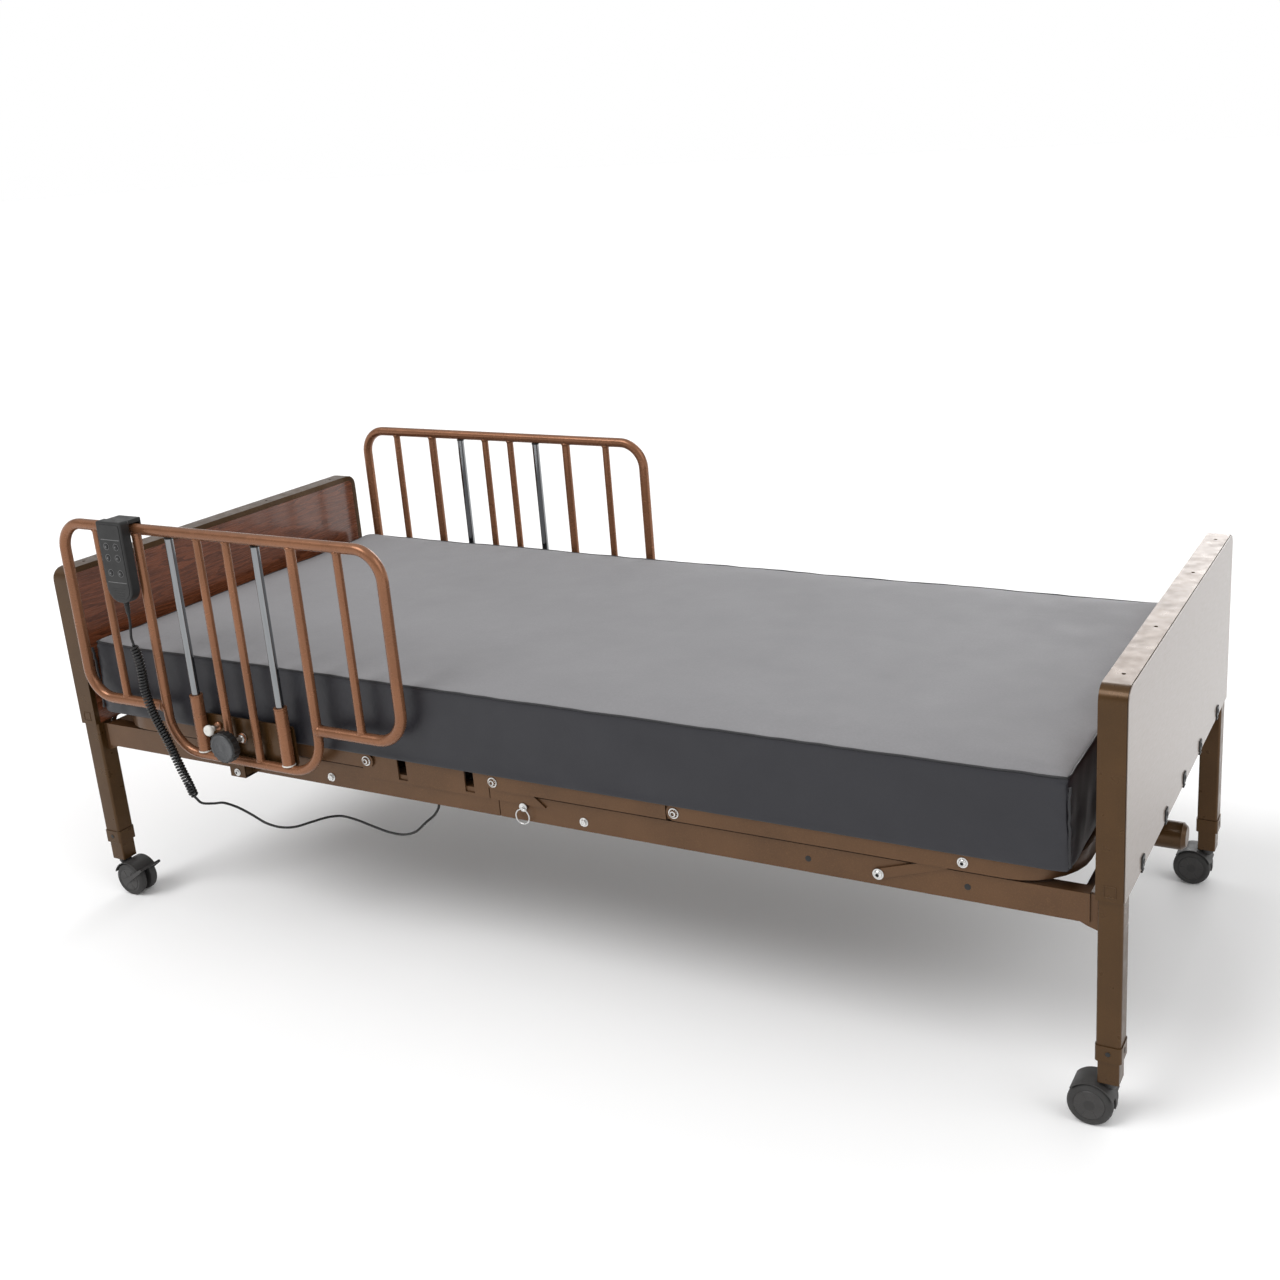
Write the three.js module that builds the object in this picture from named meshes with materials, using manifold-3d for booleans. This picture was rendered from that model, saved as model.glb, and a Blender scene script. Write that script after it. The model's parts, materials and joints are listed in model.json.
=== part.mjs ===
// Adjustable hospital bed with a four-section deck, two sliding half-length side rails, telescoping
// legs on twin-wheel casters, a hooked handset and its lead. Millimetres, +X from head to foot,
// +Z up, the near side is -Y. The origin is on the floor, under the centre of the bed.
import * as THREE from "three";
import { mergeVertices } from "three/addons/utils/BufferGeometryUtils.js";
import Module from "manifold-3d";

const wasm = await Module();
wasm.setup();

// ---------------------------------------------------------------- driving dimensions
const GAP = 0.3; // left between pieces that touch
const RUN = 0.5; // running clearance of a tube or pin in its bore
const BED_LENGTH = 2235;
const END_WIDTH = 890;
const END_CLEAR = 2.5; // from a leg to either face of its bed end
const END_TOP = 750;
const END_BOTTOM = 405;
const END_CORNER = 25;
const SHEET = 3; // wall of the channel frames
const SKIN = 1.6; // outer skin of an end panel

const LEG = 40; // outer leg tube, square
const LEG_WALL = 2;
const LEG_CORNER = 4.5;
const LEG_TOP = 700;
const LEG_BOTTOM = 122;
const LEG_INSET = 4.5; // leg face behind the end frame's side
const COLLAR_HEIGHT = 28;
const COLLAR_PROUD = 1.6;
const INNER_LEG_TOP = 400;
const INNER_LEG_BOTTOM = 80;

const WHEEL_RADIUS = 38;
const WHEEL_SIDES = 18;
const WHEEL_WIDTH = 18;
const FORK_WIDTH = 11;
const CASTER_TRAIL = 28;
const STEM_RADIUS = 5.5;

const DECK_TOP = 440;
const DECK_BAND = 30; // height of the deck's side bands
const DECK_INSET = 9; // band's outer face inside the end frame's side
const DECK_END_GAP = 34; // deck end to the inside of the end frame
const DECK_CORNER = 110;
const BACK_LENGTH = 698;
const SEAT_LENGTH = 296;
const THIGH_LENGTH = 382;
const SLAT_WIDTH = 40;
const TORSION_RADIUS = 10;
const HINGE_PIN_RADIUS = 5;

const FRAME_HEIGHT = 50;
const FRAME_FLANGE = 28;
const FRAME_DROP = 6; // clear space between the deck's bands and the main frame
const FRAME_END_GAP = 12;

const MATTRESS_LENGTH = 2084;
const MATTRESS_WIDTH = 888;
const MATTRESS_THICKNESS = 156;
const BACK_FOLD = 33.5; // half of each notch that lets the mattress fold, degrees
const THIGH_FOLD = 18.5;

const RAIL_FROM_HEAD = 493.5; // from the head of the bed to the middle of both side rails
const RAIL_CLEAR = 37; // middle plane of a side rail outside the main frame
const RAIL_TOP = 862;
const RAIL_STUB_Z = 488;
const RAIL_LOW_Z = 394;
const RAIL_HALF = 409;
const RAIL_U_HALF = 198;
const RAIL_TUBE = 11; // radius
const RAIL_U_TUBE = 9.5;
const SPINDLE = 8;
const SPINDLE_OFFSETS = [-309, -37, 37, 309];
const POST_OFFSET = 111;
const POST_RADIUS = 8;
const SLEEVE_RADIUS = 12.7;
const SLEEVE_BOTTOM = 405;
const SLEEVE_TOP = 522;
const CLAMP_KNOB_OFFSET = -16;
const CLAMP_KNOB_RADIUS = 33;
const CLAMP_KNOB_DEPTH = 23;
const CLAMP_KNOB_PROUD = 45; // face of the knob outside the rail's middle plane
const RELEASE_OFFSET = -77;

const HANDSET_OFFSET = -226; // from the middle of the rail
const HANDSET_PROUD = 41; // front of the handset outside the rail's middle plane
const HANDSET_DEPTH = 24;
const HANDSET_WIDTH = 68;
const HANDSET_TOP = 884;
const HANDSET_BOTTOM = 718;
const BUTTON_ROWS = [834, 811, 780];
const BUTTON_SPACING = 26;
const BUTTON_RADIUS = 5.5;

const LEAD_RADIUS = 3;
const CURL_RADIUS = 8;

// ---------------------------------------------------------------- values that follow from them
const END_DEPTH = LEG + 2 * END_CLEAR;
const HALF_LENGTH = BED_LENGTH / 2;
const HALF_WIDTH = END_WIDTH / 2;
const LEG_X = HALF_LENGTH - END_DEPTH / 2;
const LEG_Y = HALF_WIDTH - LEG_INSET - LEG / 2;
const AXLE_HEIGHT = WHEEL_RADIUS * Math.cos(Math.PI / WHEEL_SIDES);
const DECK_BOTTOM = DECK_TOP - DECK_BAND;
const DECK_OUT = HALF_WIDTH - DECK_INSET;
const HINGE_Z = DECK_TOP - DECK_BAND / 2;
const DECK_HEAD = -(HALF_LENGTH - END_DEPTH - DECK_END_GAP);
const DECK_FOOT = -DECK_HEAD;
const BACK_HINGE_X = DECK_HEAD + BACK_LENGTH;
const THIGH_HINGE_X = BACK_HINGE_X + SEAT_LENGTH;
const KNEE_X = THIGH_HINGE_X + THIGH_LENGTH;
const LINK_OUT = DECK_OUT - SHEET - 0.6; // outer face of the bars just inside the deck's bands
const PLATE_OUT = DECK_OUT - SHEET - 1.5; // outer face of the hinge plates
const PLATE_IN = PLATE_OUT - 3.2;
const FRAME_OUT = PLATE_IN - GAP; // outer face of the main frame
const FRAME_TOP = DECK_BOTTOM - FRAME_DROP;
const FRAME_BOTTOM = FRAME_TOP - FRAME_HEIGHT;
const FRAME_END = HALF_LENGTH - END_DEPTH - FRAME_END_GAP;
const FRAME_JOINT_X = THIGH_HINGE_X + 5;
const FRAME_MID_Z = (FRAME_TOP + FRAME_BOTTOM) / 2;
const RAIL_X = RAIL_FROM_HEAD - HALF_LENGTH;
const RAIL_Y = FRAME_OUT + RAIL_CLEAR;
const HANDSET_X = RAIL_X + HANDSET_OFFSET;
const HANDSET_FRONT = RAIL_Y + HANDSET_PROUD;

// ---------------------------------------------------------------- materials
const finish = (color, roughness, metalness) =>
  new THREE.MeshStandardMaterial({ color, roughness, metalness });
const brown = finish(0x5f4230, 0.45, 0.25);
const copper = finish(0xa8683f, 0.42, 0.25);
const laminate = finish(0x6d4531, 0.35, 0);
const zinc = finish(0xc9ccd0, 0.3, 0.9);
const chrome = finish(0xd5d8dc, 0.12, 1);
const black = finish(0x1d1d1f, 0.55, 0);
const white = finish(0xe8e6e0, 0.5, 0);
const casterGrey = finish(0x484646, 0.55, 0);
const cover = finish(0x6f6f73, 0.7, 0);
const motorGrey = finish(0x8a8c8f, 0.5, 0.1);

// ---------------------------------------------------------------- solids
const vec = (x, y, z = 0) => new THREE.Vector3(x, y, z);
const radians = THREE.MathUtils.degToRad;

// A closed three.js geometry as a solid that can be joined and cut.
function solid(geometry) {
  const bare = geometry.clone();
  bare.deleteAttribute("normal");
  bare.deleteAttribute("uv");
  const merged = mergeVertices(bare, 1e-4);
  const corners = merged.index.array;
  const kept = [];
  for (let i = 0; i < corners.length; i += 3) {
    const [a, b, c] = corners.slice(i, i + 3);
    if (a !== b && b !== c && c !== a) kept.push(a, b, c);
  }
  const vertProperties = merged.attributes.position.array;
  const triVerts = new Uint32Array(kept);
  return new wasm.Manifold(new wasm.Mesh({ numProp: 3, vertProperties, triVerts }));
}

const join = (...solids) => solids.flat().reduce((whole, piece) => whole.add(piece));
const cut = (whole, ...tools) => tools.flat().reduce((left, tool) => left.subtract(tool), whole);

function geometryOf(manifold) {
  const { vertProperties, triVerts } = manifold.getMesh();
  const geometry = new THREE.BufferGeometry();
  geometry.setAttribute("position", new THREE.BufferAttribute(new Float32Array(vertProperties), 3));
  geometry.setIndex(new THREE.BufferAttribute(new Uint32Array(triVerts), 1));
  geometry.computeVertexNormals();
  return geometry;
}

function block(x0, x1, y0, y1, z0, z1) {
  const geometry = new THREE.BoxGeometry(x1 - x0, y1 - y0, z1 - z0);
  return solid(geometry.translate((x0 + x1) / 2, (y0 + y1) / 2, (z0 + z1) / 2));
}

function rod(from, to, radius, sides = 12, endRadius = radius) {
  const along = to.clone().sub(from);
  const geometry = new THREE.CylinderGeometry(endRadius, radius, along.length(), sides);
  const turn = new THREE.Quaternion().setFromUnitVectors(vec(0, 1, 0), along.normalize());
  const middle = from.clone().lerp(to, 0.5);
  return solid(geometry.applyQuaternion(turn).translate(middle.x, middle.y, middle.z));
}

// Corners are [place, radius]; each corner with a radius becomes an arc of a few steps.
function rounded(corners, steps, closed) {
  const count = corners.length;
  return corners.flatMap(([corner, radius], i) => {
    if (!radius || (!closed && (i === 0 || i === count - 1))) return [corner.clone()];
    const toLast = corners[(i + count - 1) % count][0].clone().sub(corner).normalize();
    const toNext = corners[(i + 1) % count][0].clone().sub(corner).normalize();
    const half = toLast.angleTo(toNext) / 2;
    const inward = toLast.clone().add(toNext).normalize();
    const centre = corner.clone().addScaledVector(inward, radius / Math.sin(half));
    const start = corner.clone().addScaledVector(toLast, radius / Math.tan(half)).sub(centre);
    const stop = corner.clone().addScaledVector(toNext, radius / Math.tan(half)).sub(centre);
    const axis = start.clone().cross(stop).normalize();
    const turn = start.angleTo(stop);
    return Array.from({ length: steps + 1 }, (_, k) =>
      start.clone().applyAxisAngle(axis, (turn * k) / steps).add(centre),
    );
  });
}

// A closed outline from [a, b, corner radius] rows.
function outline(rows, steps = 4) {
  const corners = rows.map(([a, b, radius = 0]) => [vec(a, b), radius]);
  return new THREE.Shape(rounded(corners, steps, true).map((p) => new THREE.Vector2(p.x, p.y)));
}

const AXES = {
  x: [vec(0, 1, 0), vec(0, 0, 1), vec(1, 0, 0)], // the outline lies in y, z
  y: [vec(0, 0, 1), vec(1, 0, 0), vec(0, 1, 0)], // the outline lies in z, x
  z: [vec(1, 0, 0), vec(0, 1, 0), vec(0, 0, 1)], // the outline lies in x, y
};

// A plate: the outline pushed from one level to another along an axis.
function plate(shape, axis, from, to) {
  const geometry = new THREE.ExtrudeGeometry(shape, { depth: to - from, bevelEnabled: false });
  geometry.translate(0, 0, from);
  return solid(geometry.applyMatrix4(new THREE.Matrix4().makeBasis(...AXES[axis])));
}

// A side plate from [x, z, radius] rows, between two distances from the middle, on side -1 or 1.
function sidePlate(rows, side, inner, outer, steps = 4) {
  const shape = outline(
    rows.map(([x, z, radius]) => [z, x, radius]),
    steps,
  );
  return side > 0 ? plate(shape, "y", inner, outer) : plate(shape, "y", -outer, -inner);
}

class Polyline extends THREE.Curve {
  constructor(points) {
    super();
    this.points = points;
  }
  getPoint(t, target = new THREE.Vector3()) {
    const place = t * (this.points.length - 1);
    const i = Math.min(Math.floor(place), this.points.length - 2);
    return target.lerpVectors(this.points[i], this.points[i + 1], place - i);
  }
  getUtoTmapping(u) {
    return u;
  }
}

function sweep(path, radius, sides, steps) {
  const ring = Array.from({ length: sides }, (_, k) => {
    const angle = (2 * Math.PI * k) / sides;
    return new THREE.Vector2(radius * Math.cos(angle), radius * Math.sin(angle));
  });
  const settings = { steps, extrudePath: path, bevelEnabled: false };
  return solid(new THREE.ExtrudeGeometry(new THREE.Shape(ring), settings));
}

function tube(corners, radius, sides = 8, steps = 5) {
  const points = rounded(corners, steps, false);
  return sweep(new Polyline(points), radius, sides, points.length - 1);
}

// A turned piece about a line along y: profile rows are [radius, y].
function turnedAboutY(profile, sides, centre) {
  const points = profile.map(([radius, y]) => new THREE.Vector2(radius, y));
  const geometry = new THREE.LatheGeometry(points, sides);
  return solid(geometry.rotateY(Math.PI / sides).translate(centre.x, centre.y, centre.z));
}

const bed = new THREE.Group();

function part(name, whole, material, place = vec(0, 0, 0), turn = 0) {
  const mesh = new THREE.Mesh(geometryOf(whole), material);
  mesh.name = name;
  mesh.position.copy(place);
  mesh.rotation.z = turn;
  bed.add(mesh);
  return mesh;
}

const SIDES = [
  ["near", -1],
  ["far", 1],
];
const ENDS = [
  ["head", -1],
  ["foot", 1],
];

// ---------------------------------------------------------------- bed ends
// Built for the foot end about the legs' plane; the head end is the same piece turned round.
const INNER_FACE = -END_DEPTH / 2;
const LIP_FACE = END_DEPTH / 2 - SKIN - GAP;
const CROSS_TUBE = 30;
const CROSS_TUBES_Z = [450, 665];
const TOP_HOLES_Y = [-380, -155, 155, 380];

function arch(inset, band, axisFrom, axisTo) {
  const side = HALF_WIDTH - inset;
  const top = END_TOP - inset;
  const outer = END_CORNER - inset;
  const inner = Math.max(outer - band, 1);
  const shape = outline([
    [-side, END_BOTTOM],
    [-side, top, outer],
    [side, top, outer],
    [side, END_BOTTOM],
    [side - band, END_BOTTOM],
    [side - band, top - band, inner],
    [-side + band, top - band, inner],
    [-side + band, END_BOTTOM],
  ]);
  return plate(shape, "x", axisFrom, axisTo);
}

// An upright square bar with round corners.
function squareBar(half, corner, y, z0, z1) {
  const rows = [
    [-half, y - half, corner],
    [-half, y + half, corner],
    [half, y + half, corner],
    [half, y - half, corner],
  ];
  return plate(outline(rows, 3), "z", z0, z1);
}

function endFrame() {
  const LIP = 12;
  const channel = [
    arch(0, SHEET, INNER_FACE, LIP_FACE),
    arch(0.2, LIP, INNER_FACE, INNER_FACE + 2),
    arch(0.2, LIP, LIP_FACE - 2, LIP_FACE),
  ];
  const pieces = [...channel];
  const hollows = [];
  for (const [, side] of SIDES) {
    const y = side * LEG_Y;
    const bore = LEG / 2 - LEG_WALL;
    pieces.push(squareBar(LEG / 2, LEG_CORNER, y, LEG_BOTTOM, LEG_TOP));
    const collarTop = LEG_BOTTOM + COLLAR_HEIGHT;
    pieces.push(squareBar(LEG / 2 + COLLAR_PROUD, LEG_CORNER + 1, y, LEG_BOTTOM, collarTop));
    hollows.push(squareBar(bore, LEG_CORNER - LEG_WALL, y, LEG_BOTTOM - 1, LEG_TOP + 1));
    const face = side * (HALF_WIDTH - SHEET + 0.2);
    const legFace = side * (LEG_Y + LEG / 2 - 0.2);
    for (const z of [END_BOTTOM + 20, CROSS_TUBES_Z[1]]) {
      pieces.push(block(-12, 12, Math.min(face, legFace), Math.max(face, legFace), z, z + 25));
    }
    const inside = LEG_Y - LEG / 2 + 0.2;
    const gusset = outline([
      [side * inside, CROSS_TUBES_Z[0]],
      [side * (inside - 60), CROSS_TUBES_Z[0]],
      [side * (inside - 60), CROSS_TUBES_Z[0] - 14],
      [side * inside, END_BOTTOM - 45],
    ]);
    pieces.push(plate(gusset, "x", -2, 2));
    hollows.push(rod(vec(-9, side * (inside - 18), 402), vec(9, side * (inside - 18), 402), 7, 10));
  }
  const reach = LEG_Y - LEG / 2 + 0.5;
  const half = CROSS_TUBE / 2;
  for (const z of CROSS_TUBES_Z) {
    pieces.push(block(-half, half, -reach, reach, z - half, z + half));
  }
  for (const y of TOP_HOLES_Y) {
    hollows.push(rod(vec(0, y, END_TOP - 8), vec(0, y, END_TOP + 5), 3.5, 8));
  }
  return cut(join(pieces), hollows);
}

function endPanel() {
  const skinTop = END_TOP - 1.5;
  const side = HALF_WIDTH - 1.5;
  const skin = (width, top, corner, from, to) => {
    const rows = [
      [-width, END_BOTTOM + 0.5],
      [-width, top, corner],
      [width, top, corner],
      [width, END_BOTTOM + 0.5],
    ];
    return plate(outline(rows, 4), "x", from, to);
  };
  const outer = skin(side, skinTop, END_CORNER - 1.5, LIP_FACE + GAP, END_DEPTH / 2);
  const inset = 12.2 + GAP;
  const inner = skin(HALF_WIDTH - inset, END_TOP - inset, 12, INNER_FACE + 0.2, INNER_FACE + 2.2);
  const coreBottom = CROSS_TUBES_Z[0] + CROSS_TUBE / 2 + 5;
  const coreTop = CROSS_TUBES_Z[1] - CROSS_TUBE / 2 - 5;
  const reach = LEG_Y - LEG / 2 - 22;
  const core = block(INNER_FACE + 1.5, END_DEPTH / 2 - 1, -reach, reach, coreBottom, coreTop);
  return join(outer, inner, core);
}

// ---------------------------------------------------------------- inner legs and casters
function innerLeg() {
  const half = LEG / 2 - LEG_WALL - RUN;
  const hollow = half - LEG_WALL;
  const plugTop = INNER_LEG_BOTTOM + 22;
  const outer = squareBar(half, LEG_CORNER - LEG_WALL, 0, INNER_LEG_BOTTOM, INNER_LEG_TOP);
  const bore = squareBar(hollow, 0, 0, plugTop, INNER_LEG_TOP + 1);
  const stemHole = rod(vec(0, 0, INNER_LEG_BOTTOM - 1), vec(0, 0, plugTop + 1), STEM_RADIUS + RUN);
  return cut(outer, bore, stemHole);
}

// The fork's own frame: stem on the z axis, the wheels trail towards -x.
function casterFork() {
  const wheelCentre = vec(-CASTER_TRAIL, 0, AXLE_HEIGHT);
  const halfWide = FORK_WIDTH / 2 + WHEEL_WIDTH + 1;
  const hoodOuter = WHEEL_RADIUS + 2.6;
  const hoodInner = WHEEL_RADIUS + 0.9;
  const arc = (radius, from, to) =>
    Array.from({ length: 9 }, (_, k) => {
      const angle = radians(from + ((to - from) * k) / 8);
      return [wheelCentre.z + radius * Math.sin(angle), wheelCentre.x + radius * Math.cos(angle)];
    });
  const hoodShape = outline([...arc(hoodOuter, 22, 140), ...arc(hoodInner, 140, 22)]);
  const hood = plate(hoodShape, "y", -halfWide, halfWide);
  const sector = outline([...arc(hoodOuter - 0.5, 22, 140), [wheelCentre.z, wheelCentre.x]]);
  const disc = rod(
    wheelCentre.clone().add(vec(0, -FORK_WIDTH / 2, 0)),
    wheelCentre.clone().add(vec(0, FORK_WIDTH / 2, 0)),
    WHEEL_RADIUS - 5,
    20,
  );
  const web = join(disc, plate(sector, "y", -FORK_WIDTH / 2, FORK_WIDTH / 2));
  const neckTop = INNER_LEG_BOTTOM - 0.6;
  const neck = block(-12, 11, -FORK_WIDTH / 2, FORK_WIDTH / 2, AXLE_HEIGHT + 4, neckTop);
  const boss = rod(vec(0, 0, AXLE_HEIGHT + 30), vec(0, 0, neckTop), 11, 12);
  const clearWheels = [-1, 1].map((side) =>
    rod(
      wheelCentre.clone().add(vec(0, side * (FORK_WIDTH / 2 + 0.01), 0)),
      wheelCentre.clone().add(vec(0, side * halfWide * 1.1, 0)),
      hoodInner,
      24,
    ),
  );
  const stem = rod(vec(0, 0, neckTop - 4), vec(0, 0, INNER_LEG_BOTTOM + 20), STEM_RADIUS);
  const axleHole = rod(
    wheelCentre.clone().add(vec(0, -FORK_WIDTH, 0)),
    wheelCentre.clone().add(vec(0, FORK_WIDTH, 0)),
    5 + RUN,
    12,
  );
  return join(cut(join(web, neck, boss), clearWheels, axleHole), hood, stem);
}

function casterWheels() {
  const inner = FORK_WIDTH / 2 + 0.4;
  const outer = inner + WHEEL_WIDTH;
  const half = [
    [5, inner],
    [WHEEL_RADIUS - 5, inner],
    [WHEEL_RADIUS, inner + 3],
    [WHEEL_RADIUS, outer - 5],
    [WHEEL_RADIUS - 7, outer],
    [0, outer],
  ];
  const mirrored = half.map(([radius, y]) => [radius, -y]).reverse();
  return turnedAboutY([...mirrored, ...half], WHEEL_SIDES, vec(-CASTER_TRAIL, 0, AXLE_HEIGHT));
}

// A pedal behind the wheels on two thin arms that turn about the axle. Its own frame has the axle
// at the origin.
const BRAKE_ANGLE = 34;
function brakePedal() {
  const inner = FORK_WIDTH / 2 + WHEEL_WIDTH + 1.3;
  const outer = inner + 2;
  const reach = WHEEL_RADIUS + 5;
  const along = (radius, across) => {
    const angle = radians(180 - BRAKE_ANGLE);
    const x = radius * Math.cos(angle) - across * Math.sin(angle);
    return [radius * Math.sin(angle) + across * Math.cos(angle), x];
  };
  const arm = outline([
    [...along(-7, -6), 5],
    [...along(reach + 14, -3), 2],
    [...along(reach + 14, 3), 2],
    [...along(-7, 6), 5],
  ]);
  const tread = outline([
    along(reach, -2),
    along(reach + 14, -2.8),
    along(reach + 14, 1.5),
    along(reach, 2),
  ]);
  return join(
    plate(arm, "y", -outer, -inner),
    plate(arm, "y", inner, outer),
    plate(tread, "y", -inner - 1, inner + 1),
  );
}

// ---------------------------------------------------------------- main frame
function cSection(side, x0, x1) {
  const out = side * FRAME_OUT;
  const web = side * (FRAME_OUT - SHEET);
  const flange = side * (FRAME_OUT - FRAME_FLANGE);
  const shape = outline([
    [out, FRAME_BOTTOM],
    [out, FRAME_TOP],
    [flange, FRAME_TOP],
    [flange, FRAME_TOP - SHEET],
    [web, FRAME_TOP - SHEET],
    [web, FRAME_BOTTOM + SHEET],
    [flange, FRAME_BOTTOM + SHEET],
    [flange, FRAME_BOTTOM],
  ]);
  return plate(shape, "x", x0, x1);
}

// A cross member: an upright strip with a foot along its lower edge.
function crossAngle(x, depth) {
  const reach = FRAME_OUT - SHEET + 0.5;
  const [x0, x1] = [Math.min(x, x + depth), Math.max(x, x + depth)];
  return [
    block(x, x + SHEET, -reach, reach, FRAME_BOTTOM + 0.5, FRAME_TOP - 0.5),
    block(x0, x1, -reach, reach, FRAME_BOTTOM + 0.2, FRAME_BOTTOM + SHEET),
  ];
}

// A shallow cross member over the drives, which hang from it.
function hangerAngle(x) {
  const reach = FRAME_OUT - SHEET + 0.5;
  return [
    block(x, x + HANGER_WIDTH, -reach, reach, HANGER_Z, HANGER_Z + SHEET),
    block(x, x + SHEET, -reach, reach, HANGER_Z, FRAME_TOP - 0.5),
  ];
}

function endHook(end, side) {
  const y = side * LEG_Y;
  const rows = [
    [end * (FRAME_END - 25), FRAME_BOTTOM + 2],
    [end * (FRAME_END - 25), FRAME_TOP - 2],
    [end * (HALF_LENGTH - END_DEPTH / 2 - LEG / 2 - GAP), FRAME_TOP - 2],
    [end * (HALF_LENGTH - END_DEPTH / 2 - LEG / 2 - GAP), FRAME_BOTTOM - 14],
    [end * (FRAME_END - 4), FRAME_BOTTOM - 8],
  ];
  return sidePlate(rows, side, Math.abs(y) - 3.5, Math.abs(y) + 3.5);
}

// A hinge pin with a domed head, carried by a plate just inside the deck's bands.
function hingePin(x, z, side) {
  const at = (y) => vec(x, side * y, z);
  const head = DECK_OUT + GAP + 0.2;
  return [
    rod(at(PLATE_IN + 0.5), at(head + 1), HINGE_PIN_RADIUS),
    rod(at(head), at(head + 4), 8.5, 12, 6.5),
  ];
}

const SEAT_START = BACK_HINGE_X - 15;
const SEAT_STOP = THIGH_HINGE_X - 14;
const LOCK_X = FRAME_JOINT_X + 56;
const LOCK_Z = FRAME_MID_Z + 4;
const LOCK_RADIUS = 4.5;
const LINK_X = KNEE_X + 376.5;
const LINK_Z = FRAME_BOTTOM + 22;
const LINK_ROD = 8;
const HANGER_WIDTH = 32;
const HANGER_Z = FRAME_MID_Z + 2;
const KNEE_HANGER_X = BACK_HINGE_X + 18;
const BACK_HANGER_X = THIGH_HINGE_X - 46;
const GLAND = [BACK_HANGER_X - 135.5, 50 - FRAME_OUT, FRAME_BOTTOM - 20]; // the lead's end, facing down
const HILO_Y = 100;
const HILO_Z = 258;
const SHAFT_RADIUS = 9;
const SHAFT_HANGER_X = -(FRAME_END - 10);

// A plate under the head end's cross member that carries the drive shaft.
function shaftHanger() {
  const rows = [
    [HILO_Y - 16, HILO_Z - 16, 8],
    [HILO_Y - 16, FRAME_BOTTOM + 1],
    [HILO_Y + 16, FRAME_BOTTOM + 1],
    [HILO_Y + 16, HILO_Z - 16, 8],
  ];
  const hanger = plate(outline(rows), "x", SHAFT_HANGER_X, SHAFT_HANGER_X + 4);
  const from = vec(SHAFT_HANGER_X - 1, HILO_Y, HILO_Z);
  return cut(hanger, rod(from, from.clone().add(vec(6, 0, 0)), SHAFT_RADIUS + RUN, 10));
}

function headHalfFrame() {
  const stop = FRAME_JOINT_X - 2;
  const pieces = [
    crossAngle(-FRAME_END, 30),
    crossAngle(RAIL_X + 40, 30),
    hangerAngle(KNEE_HANGER_X),
    hangerAngle(BACK_HANGER_X),
    shaftHanger(),
  ].flat();
  const holes = [];
  for (const [, side] of SIDES) {
    pieces.push(cSection(side, -FRAME_END, stop), endHook(-1, side));
    const rows = [
      [SEAT_START, FRAME_TOP - 16, 3],
      [SEAT_START, DECK_TOP - 1, 13],
      [SEAT_STOP, DECK_TOP],
      [SEAT_STOP, FRAME_TOP - 16],
    ];
    pieces.push(sidePlate(rows, side, PLATE_IN, PLATE_OUT));
    const low = rows.map(([x, z]) => [x, Math.min(z, FRAME_TOP - 1)]);
    pieces.push(sidePlate(low, side, FRAME_OUT - 1, PLATE_IN + 1));
    pieces.push(...hingePin(BACK_HINGE_X, HINGE_Z, side));
    const tongue = [
      [stop - 40, FRAME_BOTTOM + 6],
      [stop - 40, FRAME_TOP - 6],
      [LOCK_X + 22, FRAME_TOP - 6, 4],
      [LOCK_X + 22, FRAME_BOTTOM + 6, 4],
    ];
    pieces.push(sidePlate(tongue, side, FRAME_OUT - SHEET - 4, FRAME_OUT - SHEET - GAP));
    const pad = [
      [stop - 40, FRAME_BOTTOM + 6],
      [stop - 40, FRAME_TOP - 6],
      [stop - 10, FRAME_TOP - 6],
      [stop - 10, FRAME_BOTTOM + 6],
    ];
    pieces.push(sidePlate(pad, side, FRAME_OUT - SHEET - 1, FRAME_OUT - 1));
    for (const x of [BACK_HINGE_X + 71, SEAT_STOP - 54]) {
      const slot = [
        [x, FRAME_TOP - 10],
        [x, DECK_TOP + 5],
        [x + 21, DECK_TOP + 5],
        [x + 21, FRAME_TOP - 10],
      ];
      holes.push(sidePlate(slot, side, PLATE_IN - 0.05, PLATE_OUT + 1));
    }
    const lock = (y) => vec(LOCK_X, side * y, LOCK_Z);
    holes.push(rod(lock(FRAME_OUT - 12), lock(FRAME_OUT + 5), LOCK_RADIUS + RUN));
  }
  for (const x of [BACK_HINGE_X + 22, BACK_HINGE_X + 112, SEAT_STOP - 92]) {
    pieces.push(block(x, x + SLAT_WIDTH, -PLATE_IN - 1, PLATE_IN + 1, DECK_TOP - 3, DECK_TOP - 0.2));
  }
  return cut(join(pieces), holes);
}

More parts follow.
